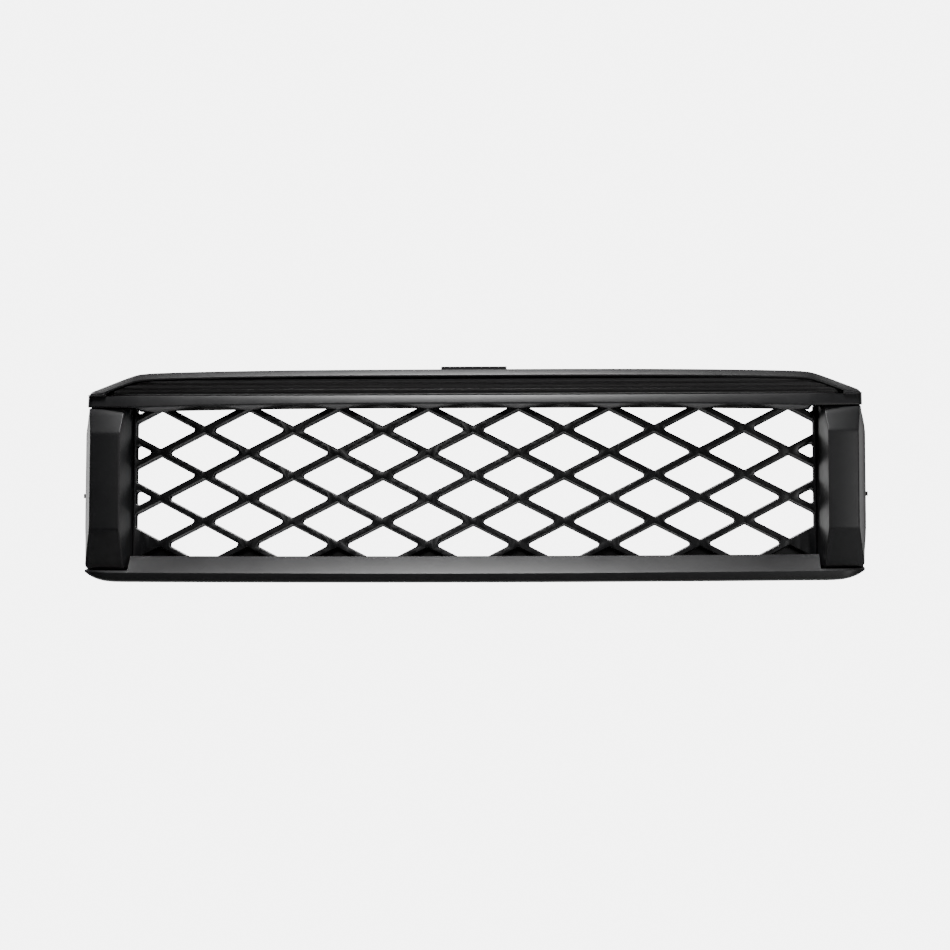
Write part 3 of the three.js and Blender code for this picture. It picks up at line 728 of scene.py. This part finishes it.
def pillar_outer(z):
    upper = PILLAR_FLARE_TOP / (PILLAR_TOP - PILLAR_UPPER_CREASE)
    lower = PILLAR_FLARE_BOTTOM / (PILLAR_LOWER_CREASE - PILLAR_BOTTOM)
    above = soft_fold(z - PILLAR_UPPER_CREASE, 2.0) * upper
    below = soft_fold(PILLAR_LOWER_CREASE - z, 2.0) * lower
    corner = ramp(PILLAR_BOTTOM + PILLAR_CORNER - z, 0, PILLAR_CORNER)
    return PILLAR_OUTER + above + below - 5 * (1 - math.sqrt(1 - corner * corner * 0.96))


def pillar_rear(z):
    """The side wall's rear edge: furthest out at the middle, drawn in towards both ends."""
    above = ramp(z, PILLAR_UPPER_CREASE - 6, PILLAR_TOP)
    below = ramp(-z, -PILLAR_LOWER_CREASE - 6, -PILLAR_BOTTOM)
    return PILLAR_REAR - 6 * above ** 1.6 - 5 * below ** 2.2


def pillar_section(side, z, shrink):
    front = pillar_front(z) + shrink
    outer = pillar_outer(z) - shrink
    rim = max(pillar_rear(z) - 0.5 * shrink, outer + 0.5)
    wall = PILLAR_WALL
    front_inner = PILLAR_INNER - INNER_DRAFT * front + shrink
    back_inner = PILLAR_INNER - INNER_DRAFT * PILLAR_BACK
    bulge = 0.45 * outer + 0.55 * rim + 0.6
    points = [
        (back_inner, PILLAR_BACK), (front_inner, front), (outer, front),
        (bulge, 0.45 * (front + PILLAR_BACK)), (rim, PILLAR_BACK), (rim - wall, PILLAR_BACK),
        (bulge - wall, 0.45 * (front + PILLAR_BACK)), (outer - wall, front + wall),
        (front_inner + wall, front + wall), (back_inner + wall, PILLAR_BACK),
    ]
    radii = [0.5, 1.6, 3.0, 18, 0.5, 0.5, 12, 1, 1, 0.5]
    return [place(side * u, o, z) for u, o in rounded(points, radii)]


def pillar_lid(side, z0, z1):
    """The plate that closes a pillar's channel at its top or bottom."""
    inset = 0.7
    rings = []
    for z in (z0, z1):
        front = pillar_front(z) + inset
        outer = pillar_outer(z) - 2 * inset
        outline = [
            (PILLAR_INNER - INNER_DRAFT * PILLAR_BACK + inset, PILLAR_BACK - inset),
            (PILLAR_INNER - INNER_DRAFT * front + inset, front), (outer, front),
            (max(pillar_rear(z) - 3 * inset, outer), PILLAR_BACK - inset),
        ]
        rings.append([place(side * u, o, z) for u, o in outline])
    return loft(rings)


def pillar(side, label):
    near_crease = (-3, -1.5, -0.7, 0, 0.7, 1.5, 3)
    levels = sorted(set(
        spread(PILLAR_BOTTOM + 1, PILLAR_TOP - 1, 8)
        + [crease + d for crease in (PILLAR_UPPER_CREASE, PILLAR_LOWER_CREASE)
           for d in near_crease]
        + [PILLAR_BOTTOM + d for d in (2, 3, 4.5, 6)]))
    edge = [(PILLAR_BOTTOM, 1.0), (PILLAR_BOTTOM + 0.3, 0.4)]
    rings = [pillar_section(side, z, shrink) for z, shrink in edge]
    rings += [pillar_section(side, z, 0) for z in levels]
    rings += [pillar_section(side, PILLAR_TOP - 0.3, 0.4), pillar_section(side, PILLAR_TOP, 1.0)]
    bm = loft(rings)
    lids = [pillar_lid(side, PILLAR_BOTTOM + 0.6, PILLAR_BOTTOM + PILLAR_WALL),
            pillar_lid(side, PILLAR_TOP - PILLAR_WALL, PILLAR_TOP - 0.3)]
    body = add(bm, lids)
    new_piece(f"{label}_pillar_moulding", body, SATIN,
              [f"{label}_pillar"])


# ---- Mesh insert -----------------------------------------------------------------------------
CELL_SLOPE = math.atan2(MESH_PITCH_Z, MESH_PITCH_X)
OPENING_HALF_Z = MESH_PITCH_Z / 2 - MESH_BAR / (2 * math.cos(CELL_SLOPE))
OPENING_HALF_X = OPENING_HALF_Z * MESH_PITCH_X / MESH_PITCH_Z
MESH_FALL = math.sin(RAKE) * math.cos(RAKE)   # the bars run back square to the leaning face
SIDE_TIP_RADIUS = 3.6
TIP_RADIUS = 2.2
NARROWEST_OPENING = 9.0
MESH_ROWS = range(-4, 4)
MESH_COLUMNS = range(-5, 6)
WEB_ROW = -4               # the lowest openings are shallow pockets in the web
CORNER_ROW = -3            # this row stops at CORNER_COLUMN: the lower corners are closed
CORNER_COLUMN = 3
THROUGH = 60.0             # deeper than the mesh


# How far the opening is widened at each depth, on its lower and its upper side
CREST = [
    (-3.0, 1.9, 1.0), (0.0, 1.9, 1.0), (0.12, 1.5, 0.65), (0.45, 0.95, 0.32), (0.95, 0.45, 0.1),
    (1.6, 0.15, 0.0), (2.5, 0.0, 0.0), (30.0, -0.25, -0.25),
]


def clip_outline(points, limit, side):
    """Cuts a convex outline off at x = side * limit."""
    kept = []
    for i, (x, z) in enumerate(points):
        next_x, next_z = points[(i + 1) % len(points)]
        here = limit - side * x
        there = limit - side * next_x
        if here >= 0:
            kept.append((x, z))
        if here * there < 0:
            t = here / (here - there)
            kept.append((x + (next_x - x) * t, z + (next_z - z) * t))
    return kept


def divided(outline, step):
    """Adds points along an outline's long straight runs."""
    result = []
    for i, point in enumerate(outline):
        following = outline[(i + 1) % len(outline)]
        count = max(1, round((following - point).length / step))
        result += [point.lerp(following, k / count) for k in range(count)]
    return result


def opening_cutter(cx, cz, deepest):
    """The room of one opening: rounded tips, a worn crest all round and straight walls."""
    corners = [(cx + OPENING_HALF_X, cz), (cx, cz + OPENING_HALF_Z),
               (cx - OPENING_HALF_X, cz), (cx, cz - OPENING_HALF_Z)]
    corners = clip_outline(clip_outline(corners, MESH_SIDE, 1), MESH_SIDE, -1)
    across = [x for x, _ in corners]
    if not corners or max(across) - min(across) < NARROWEST_OPENING:
        return None
    radii = [SIDE_TIP_RADIUS if abs(z - cz) < 1 or abs(x) > MESH_SIDE - 0.1 else TIP_RADIUS
             for x, z in corners]
    outline = []
    for point in rounded(corners, radii, 6):
        if not outline or (point - outline[-1]).length > 0.01:
            outline.append(point)
    outline = divided(outline, 14)
    count = len(outline)
    normals = []
    for i in range(count):
        along = outline[(i + 1) % count] - outline[i - 1]
        normals.append(Vector((along.y, -along.x)).normalized())
    rings = []
    for depth, low_share, high_share in CREST:
        ring = []
        for point, normal in zip(outline, normals):
            lowness = 0.5 - 0.5 * clamp(normal.y * 1.4, -1, 1)
            out = high_share + (low_share - high_share) * lowness
            s, z = point + normal * out
            o = MESH_FRONT + min(depth, deepest)
            ring.append(place(BOW_RADIUS * math.sin(s / BOW_RADIUS), o,
                              z - (o - MESH_FRONT) * MESH_FALL))
        rings.append(ring)
    return loft(rings)


def mesh_blank():
    """The solid plate and its flange, before the openings are cut."""
    deep = MESH_FRONT + MESH_DEPTH / math.cos(RAKE)

    def fall(o):
        return (o - MESH_FRONT) * MESH_FALL

    rings = []
    steps = [-FLANGE_HALF, -MESH_HALF - 0.2] + spread(-MESH_HALF, MESH_HALF, 10)
    for x in steps + [MESH_HALF + 0.2, FLANGE_HALF]:
        slim = abs(x) > MESH_HALF + 0.1
        front = FLANGE_FRONT if slim else MESH_FRONT
        rear = FLANGE_BACK if slim else deep
        outline = [
            (FLANGE_FRONT, FLANGE_LOW), (FLANGE_FRONT, MESH_LOW - fall(FLANGE_FRONT)),
            (front, MESH_LOW - fall(front)), (front, MESH_HIGH - fall(front)),
            (FLANGE_FRONT, MESH_HIGH - fall(FLANGE_FRONT)), (FLANGE_FRONT, FLANGE_HIGH),
            (FLANGE_BACK, FLANGE_HIGH), (FLANGE_BACK, MESH_HIGH - fall(FLANGE_BACK)),
            (rear, MESH_HIGH - fall(rear)), (rear, MESH_LOW - fall(rear)),
            (FLANGE_BACK, MESH_LOW - fall(FLANGE_BACK)), (FLANGE_BACK, FLANGE_LOW),
        ]
        rings.append([place(x, o, z) for o, z in outline])
    return loft(rings)


def mesh_insert():
    cutters = []
    for row in MESH_ROWS:
        shift = 0.5 if row % 2 == 0 else 0.0
        deepest = MESH_WEB_DEPTH if row == WEB_ROW else THROUGH
        for column in MESH_COLUMNS:
            if row == CORNER_ROW and abs(column) > CORNER_COLUMN:
                continue
            cutter = opening_cutter((column + shift) * MESH_PITCH_X,
                                    MESH_CENTRE_Z + row * MESH_PITCH_Z / 2, deepest)
            if cutter:
                cutters.append(cutter)
    body = cut(mesh_blank(), cutters)
    holes = [peg(x, z, SCREW_HOLE, 30, 70) for x in CLAMP_X for z in (CLAMP_HIGH, CLAMP_LOW)]
    body = cut(body, holes)
    new_piece("mesh_insert_moulding", body, GLOSS, ["mesh_insert"])


# ---- Rear frame ------------------------------------------------------------------------------
def rail_leg(x, o):
    """The rails' legs, which stiffen them, stop short of the end brackets."""
    return min(o, LEG_BACK - (LEG_BACK - RAIL_BACK) * ramp(abs(x), *LEG_STOP))


def rail_beam(outline, radii, reshape):
    stations = sorted(set(spread(-RAIL_HALF, RAIL_HALF, 12) + [
        side * x for side in (-1, 1) for x in (LEG_STOP[0], sum(LEG_STOP) / 2, LEG_STOP[1])]))
    rings = []
    for x in stations:
        rings.append([place(x, *reshape(x, o, z)) for o, z in rounded(outline, radii, 2)])
    return loft(rings)


def screw_hole(x, z):
    return peg(x, z, SCREW_HOLE, 40, 60)


def clamp_holes(clamp_z, corner_z):
    holes = [screw_hole(x, clamp_z) for x in CLAMP_X]
    return holes + [screw_hole(side * CORNER_U, corner_z) for side in (-1, 1)]


def web(outline, x, thickness, anchor):
    """An upright triangular rib square to the vehicle, from (o, z) points."""
    return loft([[stand(x + side * thickness, o, z, anchor) for o, z in outline]
                 for side in (-1, 1)])


def top_rail():
    outline = [(RAIL_FRONT, 82), (RAIL_BACK, 82), (RAIL_BACK, TAB_TOP - 4),
               (LEG_BACK, TAB_TOP - 4), (LEG_BACK, TAB_TOP - 1), (RAIL_FRONT, TAB_TOP - 1)]

    def reshape(x, o, z):
        top = min(TAB_TOP, outline_top(x) + crown(x) - 8)
        return rail_leg(x, o), z - (TAB_TOP - top if z > 100 else 0)

    body = rail_beam(outline, [0.6, 0.6, 1.2, 0.6, 1.0, 1.0], reshape)
    tabs = []
    gussets = []
    for x in TAB_X:
        anchor = (x, TAB_TOP - 2)
        shape = rounded_rectangle((x - TAB_HALF, TAB_SPAN[0]), (x + TAB_HALF, TAB_SPAN[1]), 7)
        tabs.append(shelf(shape, TAB_TOP - 4, TAB_TOP, anchor))
        for offset in (4 - TAB_HALF, 0, TAB_HALF - 4):
            gussets.append(web([(RAIL_BACK - 1, 92), (92, TAB_TOP - 3.5),
                                (RAIL_BACK - 1, TAB_TOP - 3.5)], x + offset, RIB_HALF, anchor))
    body = add(body, tabs)
    body = add(body, gussets)
    anchor = (0, CENTRE_TOP - 1.8)
    tower = shelf(rounded_rectangle((-37.5, 49), (37.5, 84), 4), 110, CENTRE_TOP, anchor)
    room = block((-34, 52.4, 100), (34, 100, CENTRE_TOP - 3.6), 1, anchor)
    body = combine(body, combine(tower, room, "DIFFERENCE"), "UNION")
    ribs = [block((x - RIB_HALF, RAIL_FRONT + 1, 84), (x + RIB_HALF, RAIL_RIB_BACK, 110))
            for x in spread(*RAIL_RIB_SPAN)
            if min(abs(x - t) for t in TAB_X) > TAB_HALF + 1 and abs(x) > 40]
    body = add(body, ribs)
    bosses = [peg(x, CLAMP_HIGH, CLAMP_BOSS, RAIL_FRONT + 0.5, RAIL_BACK + 0.25)
              for x in CLAMP_X]
    body = add(body, bosses)
    body = cut(body, clamp_holes(CLAMP_HIGH, CORNER_HIGH))
    bores = [post(x, BOLT_OFFSET, 5.4, 100, 125, (x, TAB_TOP - 2)) for x in TAB_X]
    slot = shelf(rounded_rectangle((-12, 62), (12, 70), 3.9), 115, 130, anchor)
    body = cut(body, bores + [slot])
    piece = new_piece("top_rail_moulding", body, MATT, ["top_rail"])
    soften(piece, SOFT_EDGE)


def bottom_rail():
    outline = [(RAIL_FRONT, -117), (LEG_BACK, -117), (LEG_BACK, -114), (RAIL_BACK, -114),
               (RAIL_BACK, -99.8), (RAIL_FRONT, -99.8)]

    def reshape(x, o, z):
        rise = 5 * ramp(abs(x), 400, RAIL_HALF) ** 2
        return rail_leg(x, o), z + (rise if z < -110 else 0)

    body = rail_beam(outline, [1.0, 1.0, 0.6, 1.2, 0.6, 0.6], reshape)
    seats = []
    feet = []
    rooms = []
    for x in CLIP_X:
        anchor = (x, (SEAT_LOW + SEAT_HIGH) / 2)
        left, right = x - SEAT_HALF, x + SEAT_HALF
        seats.append(plate(rounded_rectangle((left, SEAT_LOW), (right, SEAT_HIGH), 2),
                           RAIL_BACK + 3, CLIP_SEAT, anchor))
        feet.append(block((left, RAIL_FRONT + 1, -116.4), (right, RAIL_BACK + 6, SEAT_HIGH)))
        rooms.append(block((left + 3, RAIL_BACK + 6, SEAT_LOW + 2),
                           (right - 3, CLIP_SEAT - 3, -90), 1, anchor))
    body = add(body, seats)
    body = add(body, feet)
    body = cut(body, rooms)
    ribs = [block((x - RIB_HALF, RAIL_FRONT + 1, -116), (x + RIB_HALF, RAIL_RIB_BACK, -103))
            for x in spread(*RAIL_RIB_SPAN) if min(abs(x - c) for c in CLIP_X) > SEAT_HALF + 4]
    body = add(body, ribs)
    bosses = [peg(x, CLAMP_LOW, LOW_CLAMP_BOSS, RAIL_FRONT + 0.5, RAIL_BACK + 0.25)
              for x in CLAMP_X]
    body = add(body, bosses)
    body = cut(body, clamp_holes(CLAMP_LOW, CORNER_LOW))
    bores = [square_peg(x, CLIP_Z, 4.3, 72, 100) for x in CLIP_X]
    body = cut(body, bores)
    piece = new_piece("bottom_rail_moulding", body, MATT, ["bottom_rail"])
    soften(piece, SOFT_EDGE)


def end_bracket(side, label):
    anchor = (side * SIDE_TAB_U, SIDE_TAB_Z)
    near, far = EAR_SPAN
    body = side_block(side, (396, RAIL_FRONT, BRACKET_LOW), (440, RAIL_BACK, BRACKET_HIGH), 6)
    roots = [side_block(side, (near, RAIL_BACK - 1, low), (far, EAR_FRONT + 1, high), 4)
             for low, high in ((EAR_FOOT, BRACKET_HIGH), (BRACKET_LOW, LOW_EAR_HEAD))]
    ears = [side_block(side, (near, EAR_FRONT, low), (far, EAR_BACK, high), 4)
            for low, high in ((EAR_FOOT, EAR_HEAD), (LOW_EAR_FOOT, LOW_EAR_HEAD))]
    body = add(body, roots)
    body = add(body, ears)
    ribs = [side_block(side, (424, RAIL_BACK - 1, -60), (427, 77, 45)),
            side_block(side, (398, RAIL_BACK - 1, -90), (400.5, 60, 74))]
    body = add(body, ribs)
    cross_ribs = [side_block(side, (399, RAIL_BACK - 1, z - 1), (425, 58, z + 1))
                  for z in (-54, -30, -6, 18, 42)]
    body = add(body, cross_ribs)
    lug = side_block(side, (438, RAIL_FRONT, SIDE_TAB_Z - 2.5),
                     (LUG_REACH, RAIL_BACK, SIDE_TAB_Z + 2.5))
    body = combine(body, lug, "UNION")
    near, far = sorted((side * 425, side * 450))
    tab = plate(rounded_rectangle((near, SIDE_TAB_Z - 22), (far, SIDE_TAB_Z + 15), 4),
                SIDE_TAB_FRONT, SIDE_TAB_BACK, anchor)
    body = combine(body, tab, "UNION")
    holes = [screw_hole(side * PILLAR_SCREW_U, z) for z in PILLAR_SCREW_Z]
    holes += [screw_hole(side * CORNER_U, z) for z in (CORNER_HIGH, CORNER_LOW)]
    holes.append(square_peg(side * SIDE_TAB_U, SIDE_TAB_Z, 4.2, 66, 90))
    body = cut(body, holes)
    piece = new_piece(f"{label}_bracket_moulding", body, MATT,
                      [f"{label}_end_bracket"])
    soften(piece, SOFT_EDGE)


# ---- Fasteners -------------------------------------------------------------------------------
def screw(node, x, z, seat, length):
    """A flanged pan-head thread-forming screw with a six-lobed socket, pushed in from behind."""
    sides = 24
    socket_lobe = 0.22
    thread_depth = 0.35
    core = 1.5
    socket = [(1.35, 1.2), (1.45, 2.5), (1.6, 2.62)]
    head = [(2.2, 2.7), (2.85, 2.35), (3.2, 1.7), (3.3, 0.95), (3.95, 0.75), (4.1, 0.45),
            (4.0, 0.05), (1.85, 0.0)]
    rings = []
    for radius, height in socket + head:
        ring = []
        for angle in round_angles(sides):
            lobe = socket_lobe * math.cos(6 * angle) if height > 1.1 and radius < 1.7 else 0
            ring.append((radius + lobe, angle, height))
        rings.append(ring)
    steps = int(length / THREAD_PITCH * 4)
    for k in range(1, steps + 1):
        height = -length * k / steps
        ring = []
        for i, angle in enumerate(round_angles(sides)):
            turn = (height / THREAD_PITCH - i / sides) % 1
            ridge = thread_depth * max(0, 1 - abs(turn - 0.5) * 4)
            taper = clamp((length + height) / 3, 0.25, 1)
            ring.append(((core + ridge) * taper, angle, height))
        rings.append(ring)
    bm = loft([[place(x + r * math.cos(a), seat + GAP + h, z + r * math.sin(a))
                for r, a, h in ring] for ring in rings])
    new_piece(f"{node}_turned", bm, BLACK_STEEL, [node], 40)


def limiter(node, x):
    """A steel sleeve rolled from sheet, with its seam and chamfered rims."""
    z0, z1 = TAB_TOP - 4.3, TAB_TOP + 0.3
    outline = rounded([(3.4, z0), (5.1, z0), (5.1, z1), (3.4, z1)], [0.35] * 4, 2)
    rings = []
    count = 48
    for i in range(count + 1):
        angle = math.radians(92 + 356 * i / count)
        rings.append([stand(x + r * math.cos(angle), BOLT_OFFSET + r * math.sin(angle), h,
                            (x, TAB_TOP - 2)) for r, h in outline])
    bm = loft(rings)
    new_piece(f"{node}_rolled", bm, ZINC, [node], 40)


def lower_clip(node, x):
    """A push-in nylon clip: a head inside the seat and a stem with springy fins behind it."""
    sides = 32
    profile = [(0.4, -5.4), (5.2, -5.4), (6.1, -5.1), (6.5, -4.5), (6.3, -3.8), (4.6, -3.45),
               (3.9, -3.4), (3.9, 0.4), (3.2, 0.9)]
    for k in range(4):
        foot = 1.6 + 3.1 * k
        reach = 5.0 - 0.55 * k
        profile += [(2.2, foot), (reach, foot + 0.25), (reach + 0.05, foot + 0.7),
                    (2.3, foot + 2.4)]
    profile += [(2.0, 14.4), (1.3, 15.6), (0.3, 16.0)]
    rings = []
    for radius, height in profile:
        ring = []
        for angle in round_angles(sides):
            slim = radius
            if height > 1.4:
                slim = min(radius, 1.9 / max(abs(math.sin(angle)), 0.05))
            ring.append(stand(x + slim * math.cos(angle), CLIP_SEAT + height,
                              CLIP_Z + slim * math.sin(angle), (x, CLIP_Z)))
        rings.append(ring)
    bm = loft(rings)
    new_piece(f"{node}_fir_tree", bm, NYLON, [node], 36)


def clip_nut(side, label):
    """A folded sheet-steel nut slid over the side tab, with a drawn and threaded collar."""
    anchor = (side * SIDE_TAB_U, SIDE_TAB_Z)
    front = SIDE_TAB_FRONT - GAP
    back = SIDE_TAB_BACK + GAP
    low = SIDE_TAB_Z - 9
    top = SIDE_TAB_Z + 15 + GAP
    outer = [(front - 1, low), (front - 1, top + 1), (back + 1, top + 1), (back + 1, low),
             (back, low), (back, top), (front, top), (front, low)]
    radii = [0.3, 1.9, 1.9, 0.3, 0.3, 0.9, 0.9, 0.3]
    outline = rounded(outer, radii, 4)
    u0, u1 = sorted((side * (SIDE_TAB_U - 7), side * (SIDE_TAB_U + 7)))
    body = loft([[stand(x, o, z, anchor) for o, z in outline] for x in (u0, u1)])
    x, z = anchor
    collar = turned([(5.4, back + 0.5), (5.2, back + 1.2), (4.7, back + 1.6), (4.5, back + 5.6),
                     (4.1, back + 6)], 32, lambda a, b, h: stand(x + a, h, z + b, anchor))
    body = combine(body, collar, "UNION")
    thread = [(2.45 + 0.2 * (1 if k % 4 < 2 else 0), 66 + k * 0.25) for k in range(60)]
    bore = turned(thread, 24, lambda a, b, h: stand(x + a, h, z + b, anchor))
    body = combine(body, bore, "DIFFERENCE")
    piece = new_piece(f"{label}_clip_nut_folded", body, ZINC,
                      [f"{label}_clip_nut"], 36)
    soften(piece, 0.15, 1)


def fasteners():
    for i, x in enumerate(CLAMP_X, 1):
        screw(f"upper_screw_{i}", x, CLAMP_HIGH, RAIL_BACK, 18)
        screw(f"lower_screw_{i}", x, CLAMP_LOW, RAIL_BACK, 18)
    for side, label in ((-1, "left"), (1, "right")):
        for i, z in enumerate(PILLAR_SCREW_Z, 1):
            screw(f"{label}_pillar_screw_{i}", side * PILLAR_SCREW_U, z, EAR_BACK, 20)
        for i, z in enumerate((CORNER_HIGH, CORNER_LOW), 1):
            screw(f"{label}_corner_screw_{i}", side * CORNER_U, z, EAR_BACK, 20)
        clip_nut(side, label)
    for i, x in enumerate(TAB_X, 1):
        limiter(f"top_limiter_{i}", x)
    for i, x in enumerate(CLIP_X, 1):
        lower_clip(f"lower_clip_{i}", x)


# ---- Studio ----------------------------------------------------------------------------------
VIEW_AZIMUTH = math.radians(2.0)
VIEW_ELEVATION = math.radians(2.5)
VIEW_DISTANCE = 5.0
FRAME_WIDTH = 1.0948       # metres across the picture at the object
SENSOR = 36.0
VIEW_AIM = (0.0014, 0.0, -0.0021)
VIEW_ROLL = math.radians(-0.28)


def aim(thing, target):
    direction = Vector(target) - thing.location
    thing.rotation_euler = direction.to_track_quat("-Z", "Y").to_euler()


def camera():
    data = bpy.data.cameras.new("camera")
    data.sensor_width = SENSOR
    data.lens = SENSOR * VIEW_DISTANCE / FRAME_WIDTH
    data.clip_end = 60
    view = in_scene("camera", data)
    level = math.cos(VIEW_ELEVATION)
    view.location = (
        VIEW_DISTANCE * math.sin(VIEW_AZIMUTH) * level,
        -VIEW_DISTANCE * math.cos(VIEW_AZIMUTH) * level,
        VIEW_DISTANCE * math.sin(VIEW_ELEVATION),
    )
    aim(view, VIEW_AIM)
    view.rotation_euler.rotate_axis("Z", VIEW_ROLL)
    bpy.context.scene.camera = view


def soft_box(name, location, target, width, height, power):
    data = bpy.data.lights.new(name, "AREA")
    data.shape = "RECTANGLE"
    data.size = width
    data.size_y = height
    data.energy = power
    light = in_scene(name, data)
    light.location = location
    aim(light, target)


FLOOR_DROP = 0.7
FLOOR_RADIUS = 1.5
BACKDROP = 6.0             # strength of the white that only the camera sees
FRONT_FILL = 0.3           # strengths of the world's own dark grey, which lights the object
REAR_FILL = 0.15
FILL_TURN = (-0.1, 0.5)    # between these parts of the direction's Y, one becomes the other

# Name, place and target in metres, width and height in metres, power in watts
SOFT_BOXES = (
    ("centre_box", (-0.1, -0.3, 1.75), (-0.06, 0, 0), 0.6, 0.4, 54),
    ("wide_box", (0.0, -0.3, 1.95), (0.0, 0, 0), 1.7, 0.5, 9),
    ("front_box", (-0.35, -2.3, 1.5), (-0.1, 0, 0), 1.0, 0.6, 10),
    ("right_box", (2.4, -2.2, 0.3), (0.3, 0, 0), 0.9, 1.6, 22),
    ("left_rim_box", (-2.2, 1.8, 0.0), (-0.4, 0, 0), 1.4, 1.6, 26),
    ("right_rim_box", (2.4, 1.5, 0.0), (0.4, 0, 0), 1.4, 1.6, 14),
    ("left_rear_box", (-1.9, 1.9, 1.4), (0, 0, 0), 1.0, 1.0, 26),
    ("right_rear_box", (1.9, 1.9, 1.4), (0, 0, 0), 1.0, 1.0, 26),
)


def floor():
    bm = bmesh.new()
    bmesh.ops.create_circle(bm, cap_ends=True, segments=96, radius=FLOOR_RADIUS)
    bmesh.ops.translate(bm, verts=bm.verts, vec=(0, 0, cad_bounds[0][2] - FLOOR_DROP))
    data = bpy.data.meshes.new("floor")
    bm.to_mesh(data)
    bm.free()
    material, _, shader = node_material("pale_floor")
    shader.inputs["Base Color"].default_value = (0.86, 0.86, 0.87, 1)
    shader.inputs["Roughness"].default_value = 0.9
    data.materials.append(material)
    stage = in_scene("floor", data)


def world():
    """A white backdrop for the camera alone; the object gets a dim fill, least from behind."""
    sky = bpy.data.worlds.new("studio")
    sky.use_nodes = True
    tree = sky.node_tree
    lit = tree.nodes["Background"]
    seen = tree.nodes.new("ShaderNodeBackground")
    seen.inputs["Color"].default_value = (1, 1, 1, 1)
    seen.inputs["Strength"].default_value = BACKDROP
    coords = tree.nodes.new("ShaderNodeTexCoord")
    split = tree.nodes.new("ShaderNodeSeparateXYZ")
    tree.links.new(coords.outputs["Generated"], split.inputs["Vector"])
    fill = remap(tree, split.outputs["Y"], *FILL_TURN, FRONT_FILL, REAR_FILL, "SMOOTHSTEP")
    tree.links.new(fill, lit.inputs["Strength"])
    path = tree.nodes.new("ShaderNodeLightPath")
    mix = tree.nodes.new("ShaderNodeMixShader")
    tree.links.new(path.outputs["Is Camera Ray"], mix.inputs["Fac"])
    tree.links.new(lit.outputs["Background"], mix.inputs[1])
    tree.links.new(seen.outputs["Background"], mix.inputs[2])
    tree.links.new(mix.outputs["Shader"], tree.nodes["World Output"].inputs["Surface"])
    bpy.context.scene.world = sky


def studio():
    world()
    floor()
    camera()
    for row in SOFT_BOXES:
        soft_box(*row)


# ---- The object and its studio ---------------------------------------------------------------
upper_bar()
rib_strip()
lower_bar()
pillar(-1, "left")
pillar(1, "right")
mesh_insert()
top_rail()
bottom_rail()
end_bracket(-1, "left")
end_bracket(1, "right")
fasteners()
studio()
